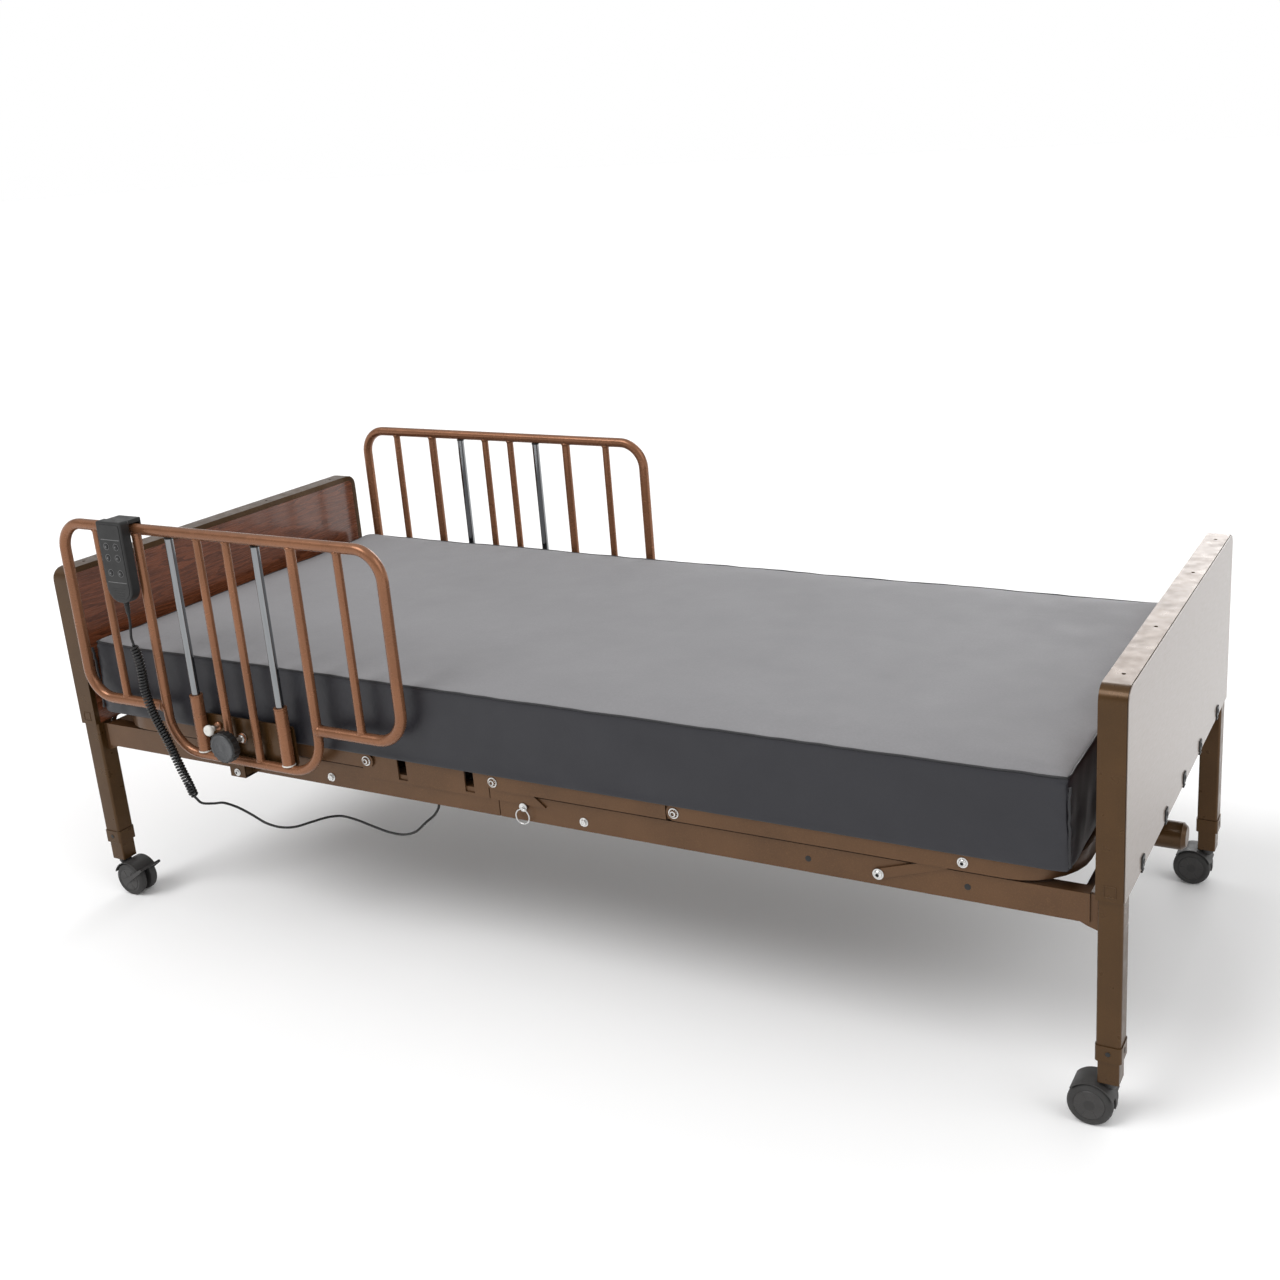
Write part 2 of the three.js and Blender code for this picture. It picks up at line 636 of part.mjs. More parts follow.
function footHalfFrame() {
  const start = FRAME_JOINT_X;
  const pieces = [
    crossAngle(FRAME_END - SHEET, -30),
    crossAngle(LINK_X - 120, 30),
    crossAngle(LOCK_X + 95, 30),
  ].flat();
  const holes = [];
  for (const [, side] of SIDES) {
    pieces.push(cSection(side, start, FRAME_END), endHook(1, side));
    const bracket = [
      [SEAT_STOP + 2, FRAME_TOP - 16, 2],
      [SEAT_STOP + 2, DECK_TOP - 6, 8],
      [SEAT_STOP + 10, DECK_TOP - 3.5],
      [THIGH_HINGE_X + 49, DECK_TOP - 3.5],
      [THIGH_HINGE_X + 110, FRAME_TOP - 16],
    ];
    pieces.push(sidePlate(bracket, side, PLATE_IN, PLATE_OUT));
    const pad = [
      [start + 3, FRAME_TOP - 16],
      [start + 3, FRAME_TOP - 1],
      [THIGH_HINGE_X + 90, FRAME_TOP - 1],
      [THIGH_HINGE_X + 90, FRAME_TOP - 16],
    ];
    pieces.push(sidePlate(pad, side, FRAME_OUT - 1, PLATE_IN + 1));
    pieces.push(...hingePin(THIGH_HINGE_X, HINGE_Z, side));
    const bore = (x, z, radius) =>
      rod(vec(x, side * (FRAME_OUT - 10), z), vec(x, side * (PLATE_OUT + 5), z), radius);
    holes.push(bore(LOCK_X, LOCK_Z, LOCK_RADIUS + RUN), bore(LINK_X, LINK_Z, LINK_ROD + RUN));
  }
  return cut(join(pieces), holes);
}

// A pull-out pin that locks the two frame halves, with its pull ring.
function lockPin(side) {
  const at = (y) => vec(0, side * y, 0);
  const shank = rod(at(FRAME_OUT - 11), at(PLATE_OUT + 3), LOCK_RADIUS, 10);
  const head = rod(at(PLATE_OUT + 0.5), at(PLATE_OUT + 3), 7, 10);
  const eye = rod(at(PLATE_OUT + 2), at(PLATE_OUT + 8), 3, 8);
  const ringY = side * (PLATE_OUT + 6);
  const turns = 12;
  const ringPath = Array.from({ length: turns + 1 }, (_, k) => {
    const angle = radians(90 - 12 + (384 * k) / turns);
    return vec(14 * Math.cos(angle), ringY, -15 + 16 * Math.sin(angle));
  });
  return join(shank, head, eye, sweep(new Polyline(ringPath.slice(0, turns)), 1.5, 6, turns - 1));
}

// ---------------------------------------------------------------- deck sections
// Each section's own frame has its hinge at the origin.
function lapPin(side, x) {
  return rod(vec(x, side * (DECK_OUT - 8), 0), vec(x, side * (DECK_OUT + 4), 0), HINGE_PIN_RADIUS + RUN);
}

// The band along one side between two places, with a round end at the hinge.
function sideBand(side, from, to, roundFrom, roundTo) {
  const half = DECK_BAND / 2;
  const rows = [
    [from, -half, roundFrom],
    [from, half, roundFrom],
    [to, half, roundTo],
    [to, -half, roundTo],
  ];
  return sidePlate(rows, side, DECK_OUT - SHEET, DECK_OUT, 5);
}

function topFlange(side, from, to) {
  const half = DECK_BAND / 2;
  const y0 = side * (DECK_OUT - 26);
  const y1 = side * (DECK_OUT - 1);
  return block(from, to, Math.min(y0, y1), Math.max(y0, y1), half - SHEET, half);
}

function slats(places) {
  const half = DECK_BAND / 2;
  const reach = DECK_OUT - SHEET + 0.5;
  return places.map((x) =>
    block(x - SLAT_WIDTH / 2, x + SLAT_WIDTH / 2, -reach, reach, half - SHEET, half - 0.2),
  );
}

// The U-shaped end of the back or calf section: direction is -1 towards the head, 1 to the foot.
function deckEnd(direction, length) {
  const half = DECK_BAND / 2;
  const start = direction * (length - DECK_CORNER - 4);
  const strip = (width) => {
    const out = DECK_OUT;
    const inner = out - width;
    const end = direction * length;
    const endIn = direction * (length - width);
    const innerCorner = DECK_CORNER - width;
    return outline(
      [
        [start, -out],
        [end, -out, DECK_CORNER],
        [end, out, DECK_CORNER],
        [start, out],
        [start, inner],
        [endIn, inner, innerCorner],
        [endIn, -inner, innerCorner],
        [start, -inner],
      ],
      7,
    );
  };
  return [plate(strip(SHEET), "z", -half, half), plate(strip(26), "z", half - SHEET, half)];
}

const ROUND = DECK_BAND / 2 - 0.5;
const ARM_LENGTH = 90;

// Cross tube at the hinge with a crank arm for the actuator.
function torsionTube(armY) {
  const reach = DECK_OUT - SHEET - 6;
  const armRows = [
    [-8, 0],
    [8, 0],
    [7, -ARM_LENGTH, 5],
    [-7, -ARM_LENGTH, 5],
  ];
  const shape = outline(armRows.map(([x, z, radius]) => [z, x, radius]));
  const bar = rod(vec(0, -reach, 0), vec(0, reach, 0), TORSION_RADIUS, 12);
  return [bar, plate(shape, "y", armY - 4, armY + 4)];
}

// Short webs that tie the cross tube to the bands, inside the hinge plates.
function tubeWebs(direction) {
  return SIDES.map(([, side]) => {
    const y0 = side * (FRAME_OUT - 44);
    const y1 = side * (FRAME_OUT - 38);
    const x = direction * ARM_LENGTH;
    const lower = -DECK_BAND / 2 + 1;
    const upper = DECK_BAND / 2 - SHEET + 0.5;
    return block(Math.min(0, x), Math.max(0, x), Math.min(y0, y1), Math.max(y0, y1), lower, upper);
  });
}

function backDeck() {
  const pieces = [...deckEnd(-1, BACK_LENGTH), ...torsionTube(80), ...tubeWebs(-1)];
  for (const [, side] of SIDES) {
    pieces.push(sideBand(side, -(BACK_LENGTH - DECK_CORNER), ROUND + 0.5, 0, ROUND));
    pieces.push(topFlange(side, -(BACK_LENGTH - DECK_CORNER), -22));
  }
  pieces.push(...slats([-86, -212, -338, -464, -590]));
  return cut(join(pieces), [lapPin(-1, 0), lapPin(1, 0)]);
}

function thighDeck() {
  const stop = THIGH_LENGTH - ROUND - 2;
  const pieces = [...torsionTube(-80), ...tubeWebs(1)];
  const half = DECK_BAND / 2;
  const holes = [];
  for (const [, side] of SIDES) {
    pieces.push(sideBand(side, -ROUND - 0.5, stop, ROUND, 0));
    pieces.push(topFlange(side, 22, stop - 4));
    const lap = [
      [stop - 30, -half + 1],
      [stop - 30, half - 1],
      [THIGH_LENGTH + 13, half - 1, 13],
      [THIGH_LENGTH + 13, -half + 1, 13],
    ];
    pieces.push(sidePlate(lap, side, DECK_OUT - 2 * SHEET - 0.5, DECK_OUT - SHEET - 0.5));
    const overlap = lap.map(([x, z]) => [Math.min(x, stop - 5), z]);
    pieces.push(sidePlate(overlap, side, DECK_OUT - SHEET - 1, DECK_OUT - 1));
    const at = (y) => vec(THIGH_LENGTH, side * y, 0);
    const head = DECK_OUT + GAP + 0.2;
    pieces.push(rod(at(DECK_OUT - 2 * SHEET), at(head + 1), HINGE_PIN_RADIUS));
    pieces.push(rod(at(head), at(head + 4), 8.5, 12, 6.5));
    holes.push(lapPin(side, 0));
  }
  pieces.push(...slats([96, 200, 304]));
  return cut(join(pieces), holes);
}

const CALF_LENGTH = DECK_FOOT - KNEE_X;
const LINK_TOP_X = 522.5;

function calfDeck() {
  const pieces = [...deckEnd(1, CALF_LENGTH)];
  for (const [, side] of SIDES) {
    pieces.push(sideBand(side, -ROUND - 0.5, CALF_LENGTH - DECK_CORNER, ROUND, 0));
    pieces.push(topFlange(side, 26, LINK_TOP_X - 70));
    pieces.push(topFlange(side, LINK_TOP_X + 44, CALF_LENGTH - DECK_CORNER));
  }
  pieces.push(...slats([70, 220, 370, 590]));
  return cut(join(pieces), [lapPin(-1, 0), lapPin(1, 0)]);
}

// Two flat bars on a cross rod: they carry the foot end of the calf section when the knee is up.
function calfLink() {
  const rise = HINGE_Z - LINK_Z;
  const run = KNEE_X + LINK_TOP_X - LINK_X;
  const length = Math.hypot(rise, run);
  const tilt = Math.atan2(rise, run);
  const reach = LINK_OUT - 0.4;
  const pieces = [rod(vec(0, -reach, 0), vec(0, reach, 0), LINK_ROD)];
  for (const [, side] of SIDES) {
    const along = (s, t) => [
      s * Math.cos(tilt) - t * Math.sin(tilt),
      s * Math.sin(tilt) + t * Math.cos(tilt),
    ];
    const rows = [
      [...along(-11, -9), 8],
      [...along(-11, 9), 8],
      [...along(length + 9, 8), 7],
      [...along(length + 9, -8), 7],
    ];
    pieces.push(sidePlate(rows, side, PLATE_IN, LINK_OUT - 0.3));
  }
  return join(pieces);
}

// ---------------------------------------------------------------- mattress
const MATTRESS_START = -MATTRESS_LENGTH / 2 - 5;
const MATTRESS_BOTTOM = DECK_TOP + 1;
const MATTRESS_TOP = MATTRESS_BOTTOM + MATTRESS_THICKNESS;

function foam(x0, x1, slope0, slope1) {
  const edge = (x, slope, direction) => {
    const lift = (z) => x + direction * (1 + (z - HINGE_Z) * Math.tan(radians(slope)));
    return [lift(MATTRESS_BOTTOM), lift(MATTRESS_TOP)];
  };
  const [low0, high0] = edge(x0, slope0, 1);
  const [low1, high1] = edge(x1, slope1, -1);
  const shape = outline(
    [
      [MATTRESS_BOTTOM, low0],
      [MATTRESS_TOP, high0],
      [MATTRESS_TOP, high1],
      [MATTRESS_BOTTOM, low1],
    ],
    3,
  );
  return plate(shape, "y", -MATTRESS_WIDTH / 2, MATTRESS_WIDTH / 2);
}

// ---------------------------------------------------------------- side rails
// A rail's own frame has its middle plane at y = 0 and faces out towards -y.
function railFrame() {
  const at = (x, z) => vec(x, 0, z);
  const loop = tube(
    [
      [at(-RAIL_U_HALF, RAIL_STUB_Z), 0],
      [at(-RAIL_HALF, RAIL_STUB_Z), 60],
      [at(-RAIL_HALF, RAIL_TOP), 58],
      [at(RAIL_HALF, RAIL_TOP), 58],
      [at(RAIL_HALF, RAIL_STUB_Z), 60],
      [at(RAIL_U_HALF, RAIL_STUB_Z), 0],
    ],
    RAIL_TUBE,
  );
  const inner = tube(
    [
      [at(-RAIL_U_HALF, RAIL_TOP), 0],
      [at(-RAIL_U_HALF, RAIL_LOW_Z), 75],
      [at(RAIL_U_HALF, RAIL_LOW_Z), 75],
      [at(RAIL_U_HALF, RAIL_TOP), 0],
    ],
    RAIL_U_TUBE,
  );
  const spindles = SPINDLE_OFFSETS.map((x) => {
    const bottom = Math.abs(x) < RAIL_U_HALF ? RAIL_LOW_Z : RAIL_STUB_Z;
    return rod(at(x, bottom), at(x, RAIL_TOP), SPINDLE, 8);
  });
  return join(loop, inner, spindles);
}

function railPost() {
  const bottom = RAIL_LOW_Z + RAIL_U_TUBE + GAP;
  return rod(vec(0, 0, bottom), vec(0, 0, RAIL_TOP - RAIL_TUBE - GAP), POST_RADIUS, 12);
}

// Two sleeves on a plate that clamps the main frame's side from outside and below.
const MOUNT_PLATE_OUT = RAIL_Y - SLEEVE_RADIUS;
const MOUNT_TOP = 480;
const MOUNT_BOTTOM = FRAME_TOP - 8;
const MOUNT_HOOK_X = -46;
const MOUNT_HOOK_WIDTH = 40;
const RELEASE_Z = 456;
const RELEASE_STEM = 4;
const CLAMP_Z = 438;
const CLAMP_STEM = 6;

function railMount() {
  const plateY = (distance) => RAIL_Y - distance;
  const y0 = plateY(MOUNT_PLATE_OUT + 1);
  const y1 = plateY(MOUNT_PLATE_OUT - 4);
  const low = FRAME_BOTTOM - 6;
  const lipIn = plateY(FRAME_OUT - FRAME_FLANGE);
  const [hook0, hook1] = [MOUNT_HOOK_X - MOUNT_HOOK_WIDTH / 2, MOUNT_HOOK_X + MOUNT_HOOK_WIDTH / 2];
  const pieces = [
    block(-POST_OFFSET - 12, POST_OFFSET + 12, y0, y1, MOUNT_BOTTOM, MOUNT_TOP),
    block(hook0, hook1, y0, y1, low, MOUNT_BOTTOM + 1),
    block(hook0, hook1, y0, lipIn, low, FRAME_BOTTOM - GAP),
    block(hook0, hook1, y1 - 1, plateY(FRAME_OUT + GAP), low, FRAME_TOP - 12),
  ];
  const holes = [];
  for (const side of [-1, 1]) {
    const x = side * POST_OFFSET;
    pieces.push(rod(vec(x, 0, SLEEVE_BOTTOM), vec(x, 0, SLEEVE_TOP), SLEEVE_RADIUS));
    holes.push(rod(vec(x, 0, SLEEVE_BOTTOM - 1), vec(x, 0, SLEEVE_TOP + 1), POST_RADIUS + RUN));
  }
  const through = (x, z, radius) => rod(vec(x, y0 - 2, z), vec(x, y1 + 2, z), radius + RUN);
  holes.push(through(CLAMP_KNOB_OFFSET, CLAMP_Z, CLAMP_STEM));
  holes.push(through(RELEASE_OFFSET, RELEASE_Z, RELEASE_STEM));
  return cut(join(pieces), holes);
}

// Screw knob that presses the clamp on to the frame.
function clampKnob() {
  const face = -CLAMP_KNOB_PROUD;
  const stemEnd = RAIL_Y - MOUNT_PLATE_OUT + 3;
  const lobes = 12;
  const rows = Array.from({ length: lobes * 2 }, (_, k) => {
    const radius = k % 2 ? CLAMP_KNOB_RADIUS : CLAMP_KNOB_RADIUS - 1.6;
    const angle = (Math.PI * (k + 0.5)) / lobes;
    return [radius * Math.cos(angle), radius * Math.sin(angle)];
  });
  const hubStart = face + CLAMP_KNOB_DEPTH;
  const head = plate(outline(rows), "y", face, hubStart);
  const hub = rod(vec(0, hubStart - 1, 0), vec(0, hubStart + 6, 0), 12);
  return join(head, hub, rod(vec(0, hubStart + 5, 0), vec(0, stemEnd, 0), CLAMP_STEM));
}

// Sprung plunger with a small round knob.
function releaseKnob() {
  const knob = rod(vec(0, -19, 0), vec(0, -6, 0), 11.5, 12, 9);
  return join(knob, rod(vec(0, -7, 0), vec(0, RAIL_Y - MOUNT_PLATE_OUT + 3, 0), RELEASE_STEM));
}

// ---------------------------------------------------------------- handset and its lead
// Built about the rail tube it hangs on: y = 0 is the rail's middle plane.
function handset() {
  const front = -HANDSET_PROUD;
  const back = front + HANDSET_DEPTH;
  const half = HANDSET_WIDTH / 2;
  const rows = [
    [HANDSET_TOP, -half, 6],
    [HANDSET_TOP, half, 6],
    [HANDSET_BOTTOM, half, half - 3],
    [HANDSET_BOTTOM, -half, half - 3],
  ];
  const body = plate(outline(rows, 6), "y", front, back);
  const hookIn = RAIL_TUBE + 1;
  const hookBottom = RAIL_TOP - 6;
  const hookHalf = half - 5;
  const hookLow = RAIL_TOP + RAIL_TUBE + 1;
  const hookTop = block(-hookHalf, hookHalf, back - 1, hookIn + 4, hookLow, HANDSET_TOP - 2);
  const hookBack = block(-hookHalf, hookHalf, hookIn, hookIn + 4, hookBottom, HANDSET_TOP - 2.5);
  const reliefY = (front + back) / 2;
  const reliefAt = (z) => vec(0, reliefY, HANDSET_BOTTOM + z);
  const relief = rod(reliefAt(-26), reliefAt(2), 3.6, 10, 5.5);
  const wells = BUTTON_ROWS.flatMap((z) =>
    [-1, 1].map((column) => {
      const x = (column * BUTTON_SPACING) / 2;
      return rod(vec(x, front - 1, z), vec(x, front + 4.5, z), BUTTON_RADIUS + RUN, 12);
    }),
  );
  return cut(join(body, hookTop, hookBack, relief), wells);
}

function button() {
  const front = -HANDSET_PROUD;
  return rod(vec(0, front - 1.6, 0), vec(0, front + 2.2, 0), BUTTON_RADIUS, 12);
}

const LEAD_Y = -(HANDSET_FRONT - HANDSET_DEPTH / 2);
const lead = (points, radius, sides, steps) => {
  const curve = new THREE.CatmullRomCurve3(points.map(([x, y, z]) => vec(x, y, z)));
  return sweep(curve, radius, sides, steps);
};
const UPPER_LEAD = [
  [HANDSET_X, LEAD_Y, 691.7],
  [-850, LEAD_Y, 676],
  [-853, LEAD_Y, 656],
  [-855, LEAD_Y, 642],
  [-852, LEAD_Y, 628],
];
const CURLY_LEAD = [
  [-852, LEAD_Y, 627.6],
  [-846, LEAD_Y, 604],
  [-843, LEAD_Y, 575],
  [-843, LEAD_Y, 528],
  [-831, LEAD_Y, 481],
  [-807, LEAD_Y, 431],
  [-784, -492, 368],
  [-773, -489, 334],
  [-768, -484, 302],
];
const LOWER_LEAD = [
  [-767.4, -482.6, 300],
  [-765, -474, 286],
  [-769, -440, 268],
  [-774, -408, 254],
  [-756, -392, 240],
  [-721, -388, 226],
  [-684, -388, 213],
  [-645, -386, 209],
  [-618, -374, 209],
  [-597, -346, 211],
  [-575, -322, 214],
  [-549, -313, 217],
  [-498, -326, 224],
  [-429, -350, 231],
  [-361, -375, 240],
  [-311, -389, 251],
  [-279, -392, 265],
  [-257, -388, 285],
  [-238, -381, 302],
  [-228, -378, 318],
  [GLAND[0], GLAND[1], GLAND[2] - 8],
  [GLAND[0], GLAND[1], GLAND[2] - GAP],
];

// ---------------------------------------------------------------- drives
// Box in the frame's head half, hung from a cross strip, with the handset lead's gland below.
function controlBox() {
  const [x, y, z] = GLAND;
  const top = FRAME_TOP - 8;
  const bottom = z + 14;
  const rows = [
    [x - 40, y - 18, 5],
    [x + 130, y - 18, 5],
    [x + 130, y + 92, 5],
    [x - 40, y + 92, 5],
  ];
  const body = plate(outline(rows, 2), "z", bottom, top);
  return join(body, rod(vec(x, y, z), vec(x, y, bottom + 1), 4.2, 10, 6.5));
}

const BACK_ARM_Y = 80;
const KNEE_ARM_Y = -80;
const ROD_Z = HINGE_Z - ARM_LENGTH + 10;

// A linear drive along x: motor drum, gear head and tube. The rod comes out at x = 0, towards -x.
function actuator() {
  const tubeLength = 170;
  const outer = rod(vec(0, 0, 0), vec(tubeLength, 0, 0), 16);
  const gearHead = block(tubeLength - 1, tubeLength + 62, -24, 24, -24, HANGER_Z - GAP - ROD_Z);
  const motor = rod(vec(tubeLength + 60, 0, 4), vec(tubeLength + 190, 0, 4), 27, 16);
  const bore = rod(vec(-1, 0, 0), vec(tubeLength - 20, 0, 0), 8 + RUN);
  return cut(join(outer, gearHead, motor), bore);
}

function actuatorRod() {
  return join(rod(vec(-50, 0, 0), vec(140, 0, 0), 8), rod(vec(-56, 0, 0), vec(-44, 0, 0), 11));
}

// Gear motor that turns the lifting screws, under the foot end, with its bracket.
function hiLoMotor() {
  const x0 = LEG_X - 118;
  const x1 = LEG_X + 8;
  const drum = rod(vec(x0, HILO_Y, HILO_Z), vec(x1, HILO_Y, HILO_Z), 26, 18);
  const cap = rod(vec(x1 - 1, HILO_Y, HILO_Z), vec(x1 + 7, HILO_Y, HILO_Z), 26, 18, 19);
  const gear = block(x0 - 46, x0 + 1, HILO_Y - 34, HILO_Y + 34, HILO_Z - 30, HILO_Z + 34);
  const strapX = FRAME_END - 12;
  const strap = block(strapX, strapX + 4, HILO_Y - 30, HILO_Y + 30, HILO_Z + 20, FRAME_BOTTOM - GAP);
  return join(drum, cap, gear, strap);
}

function driveShaft() {
  const x0 = SHAFT_HANGER_X - 12;
  const x1 = LEG_X - 118 - 46;
  return rod(vec(x0, HILO_Y, HILO_Z), vec(x1 - GAP, HILO_Y, HILO_Z), SHAFT_RADIUS, 10);
}

// ---------------------------------------------------------------- assembly
for (const [name, end] of ENDS) {
  const turn = end > 0 ? 0 : Math.PI;
  const legs = vec(end * LEG_X, 0, 0);
  part(`${name}_end_frame`, endFrame(), brown, legs, turn);
  part(`${name}_end_panel`, endPanel(), laminate, legs, turn);
  for (const [sideName, side] of SIDES) {
    const foot = vec(end * LEG_X, side * LEG_Y, 0);
    part(`${name}_${sideName}_inner_leg`, innerLeg(), brown, foot);
    part(`${name}_${sideName}_caster_fork`, casterFork(), casterGrey, foot, turn);
    part(`${name}_${sideName}_caster_wheels`, casterWheels(), casterGrey, foot, turn);
    const axle = foot.clone().add(vec(-end * CASTER_TRAIL, 0, AXLE_HEIGHT));
    if (end < 0) part(`${name}_${sideName}_brake_pedal`, brakePedal(), casterGrey, axle, turn);
  }
}

part("head_half_frame", headHalfFrame(), brown);
part("foot_half_frame", footHalfFrame(), brown);
for (const [name, side] of SIDES) {
  part(`${name}_lock_pin`, lockPin(side), zinc, vec(LOCK_X, 0, LOCK_Z));
}

part("back_deck", backDeck(), brown, vec(BACK_HINGE_X, 0, HINGE_Z));
part("thigh_deck", thighDeck(), brown, vec(THIGH_HINGE_X, 0, HINGE_Z));
part("calf_deck", calfDeck(), brown, vec(KNEE_X, 0, HINGE_Z));
part("calf_link", calfLink(), brown, vec(LINK_X, 0, LINK_Z));

part("mattress_back", foam(MATTRESS_START, BACK_HINGE_X, 0, BACK_FOLD), cover);
part("mattress_seat", foam(BACK_HINGE_X, THIGH_HINGE_X, BACK_FOLD, THIGH_FOLD), cover);
part("mattress_thigh", foam(THIGH_HINGE_X, KNEE_X, THIGH_FOLD, 0), cover);
part("mattress_calf", foam(KNEE_X, MATTRESS_START + MATTRESS_LENGTH, 0, 0), cover);

for (const [name, side] of SIDES) {
  const place = vec(RAIL_X, side * RAIL_Y, 0);
  const turn = side < 0 ? 0 : Math.PI;
  const shifted = (x, z) => vec(RAIL_X + (side < 0 ? x : -x), side * RAIL_Y, z);
  part(`${name}_rail_frame`, railFrame(), copper, place, turn);
  part(`${name}_rail_post_head`, railPost(), chrome, shifted(side * POST_OFFSET, 0), turn);
  part(`${name}_rail_post_foot`, railPost(), chrome, shifted(-side * POST_OFFSET, 0), turn);
  part(`${name}_rail_mount`, railMount(), copper, place, turn);
  part(`${name}_clamp_knob`, clampKnob(), black, shifted(CLAMP_KNOB_OFFSET, CLAMP_Z), turn);
  part(`${name}_release_knob`, releaseKnob(), white, shifted(RELEASE_OFFSET, RELEASE_Z), turn);
}

part("handset", handset(), black, vec(HANDSET_X, -RAIL_Y, 0));
BUTTON_ROWS.forEach((z, row) => {
  for (const [sideName, column] of [
    ["up", -1],
    ["down", 1],
  ]) {
    const x = HANDSET_X + (column * BUTTON_SPACING) / 2;
    part(`button_${["back", "knee", "bed"][row]}_${sideName}`, button(), black, vec(x, -RAIL_Y, z));
  }
});
part("handset_lead_upper", lead(UPPER_LEAD, LEAD_RADIUS, 8, 8), black);
part("handset_lead_curly", lead(CURLY_LEAD, CURL_RADIUS, 8, 20), black);
part("handset_lead_lower", lead(LOWER_LEAD, LEAD_RADIUS, 8, 60), black);

part("control_box", controlBox(), motorGrey);
part("back_actuator", actuator(), motorGrey, vec(BACK_HINGE_X + 70, BACK_ARM_Y, ROD_Z));
part("back_actuator_rod", actuatorRod(), zinc, vec(BACK_HINGE_X + 70, BACK_ARM_Y, ROD_Z));
part("knee_actuator", actuator(), motorGrey, vec(THIGH_HINGE_X - 70, KNEE_ARM_Y, ROD_Z), Math.PI);
part("knee_actuator_rod", actuatorRod(), zinc, vec(THIGH_HINGE_X - 70, KNEE_ARM_Y, ROD_Z), Math.PI);
part("hi_lo_motor", hiLoMotor(), brown);
part("hi_lo_drive_shaft", driveShaft(), zinc);

export default bed;
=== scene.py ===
"""Looks for the adjustable hospital bed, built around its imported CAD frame.

Everything is in metres in the frame's own axes: +X from head to foot, +Z up, the near side is -Y.
"""

import json
import math
from contextlib import contextmanager

import bmesh
import bpy
import numpy as np
from mathutils import Matrix, Vector, noise


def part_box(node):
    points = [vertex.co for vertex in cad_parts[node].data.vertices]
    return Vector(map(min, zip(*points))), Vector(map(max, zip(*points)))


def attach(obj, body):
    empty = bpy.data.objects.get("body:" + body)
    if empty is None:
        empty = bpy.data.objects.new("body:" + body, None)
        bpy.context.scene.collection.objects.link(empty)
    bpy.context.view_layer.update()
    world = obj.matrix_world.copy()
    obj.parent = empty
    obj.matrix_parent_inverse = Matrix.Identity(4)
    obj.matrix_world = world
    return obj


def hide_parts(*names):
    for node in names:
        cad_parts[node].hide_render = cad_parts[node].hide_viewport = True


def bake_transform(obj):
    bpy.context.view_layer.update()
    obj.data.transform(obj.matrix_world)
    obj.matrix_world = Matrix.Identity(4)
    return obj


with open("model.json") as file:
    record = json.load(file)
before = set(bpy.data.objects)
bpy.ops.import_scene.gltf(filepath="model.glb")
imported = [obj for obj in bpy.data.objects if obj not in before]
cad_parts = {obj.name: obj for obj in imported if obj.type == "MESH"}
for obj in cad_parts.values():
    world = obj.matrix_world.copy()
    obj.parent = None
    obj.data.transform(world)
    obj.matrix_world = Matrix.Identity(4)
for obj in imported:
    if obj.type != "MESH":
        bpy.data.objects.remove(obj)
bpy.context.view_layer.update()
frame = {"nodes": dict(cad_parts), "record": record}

MM = 0.001
SIDES = (("near", -1), ("far", 1))
ENDS = (("head", -1), ("foot", 1))
BODY_OF = {n: b for b, nodes in frame["record"]["behaviour"]["bodies"].items() for n in nodes}


def node_box(name):
    """Lowest and highest corners of a CAD node in millimetres."""
    low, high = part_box(name)
    return low / MM, high / MM


# ---------------------------------------------------------------- places taken from the frame
RAIL_LOW, RAIL_HIGH = node_box("near_rail_frame")
RAIL_X = (RAIL_LOW.x + RAIL_HIGH.x) / 2
RAIL_Y = -(RAIL_LOW.y + RAIL_HIGH.y) / 2
RAIL_TUBE = 11
RAIL_U_TUBE = 9.5
RAIL_TOP = RAIL_HIGH.z - RAIL_TUBE
RAIL_LOW_Z = RAIL_LOW.z + RAIL_U_TUBE
RAIL_HALF = (RAIL_HIGH.x - RAIL_LOW.x) / 2 - RAIL_TUBE
RAIL_U_HALF = 198
RAIL_STUB_Z = 488
POST_LOW, POST_HIGH = node_box("near_rail_post_foot")
POST_OFFSET = (POST_LOW.x + POST_HIGH.x) / 2 - RAIL_X
DECK_TOP = node_box("back_deck")[1].z
DECK_OUT = node_box("back_deck")[1].y
HINGE_Z = DECK_TOP - 15
BACK_HINGE_X = node_box("back_deck")[1].x - 15
THIGH_HINGE_X = node_box("thigh_deck")[0].x + 15
KNEE_X = node_box("calf_deck")[0].x + 15
FRAME_OUT = 428
FRAME_MID_Z = 379
LEG_LOW, LEG_HIGH = node_box("foot_near_inner_leg")
LEG_X = (LEG_LOW.x + LEG_HIGH.x) / 2
LEG_Y = -(LEG_LOW.y + LEG_HIGH.y) / 2
LEG_HALF = 20


def linked(name, data):
    obj = bpy.data.objects.new(name, data)
    bpy.context.collection.objects.link(obj)
    return obj


# ---------------------------------------------------------------- camera
def make_camera():
    azimuth, elevation, roll = (math.radians(a) for a in (26.94, 17.10, -3.22))
    level = math.cos(elevation)
    back = Vector((math.sin(azimuth) * level, -math.cos(azimuth) * level, math.sin(elevation)))
    right = Vector((math.cos(azimuth), math.sin(azimuth), 0))
    up = back.cross(right)
    turned_right = right * math.cos(roll) + up * math.sin(roll)
    turned_up = up * math.cos(roll) - right * math.sin(roll)
    matrix = Matrix((turned_right, turned_up, back)).transposed().to_4x4()
    matrix.translation = Vector((1.5597, -2.4599, 1.5538))
    data = bpy.data.cameras.new("camera")
    data.sensor_width = 36
    data.lens = 42.07
    data.shift_x, data.shift_y = -0.0944, -0.0430
    data.clip_end = 100
    camera = linked("camera", data)
    camera.matrix_world = matrix
    bpy.context.scene.camera = camera


make_camera()


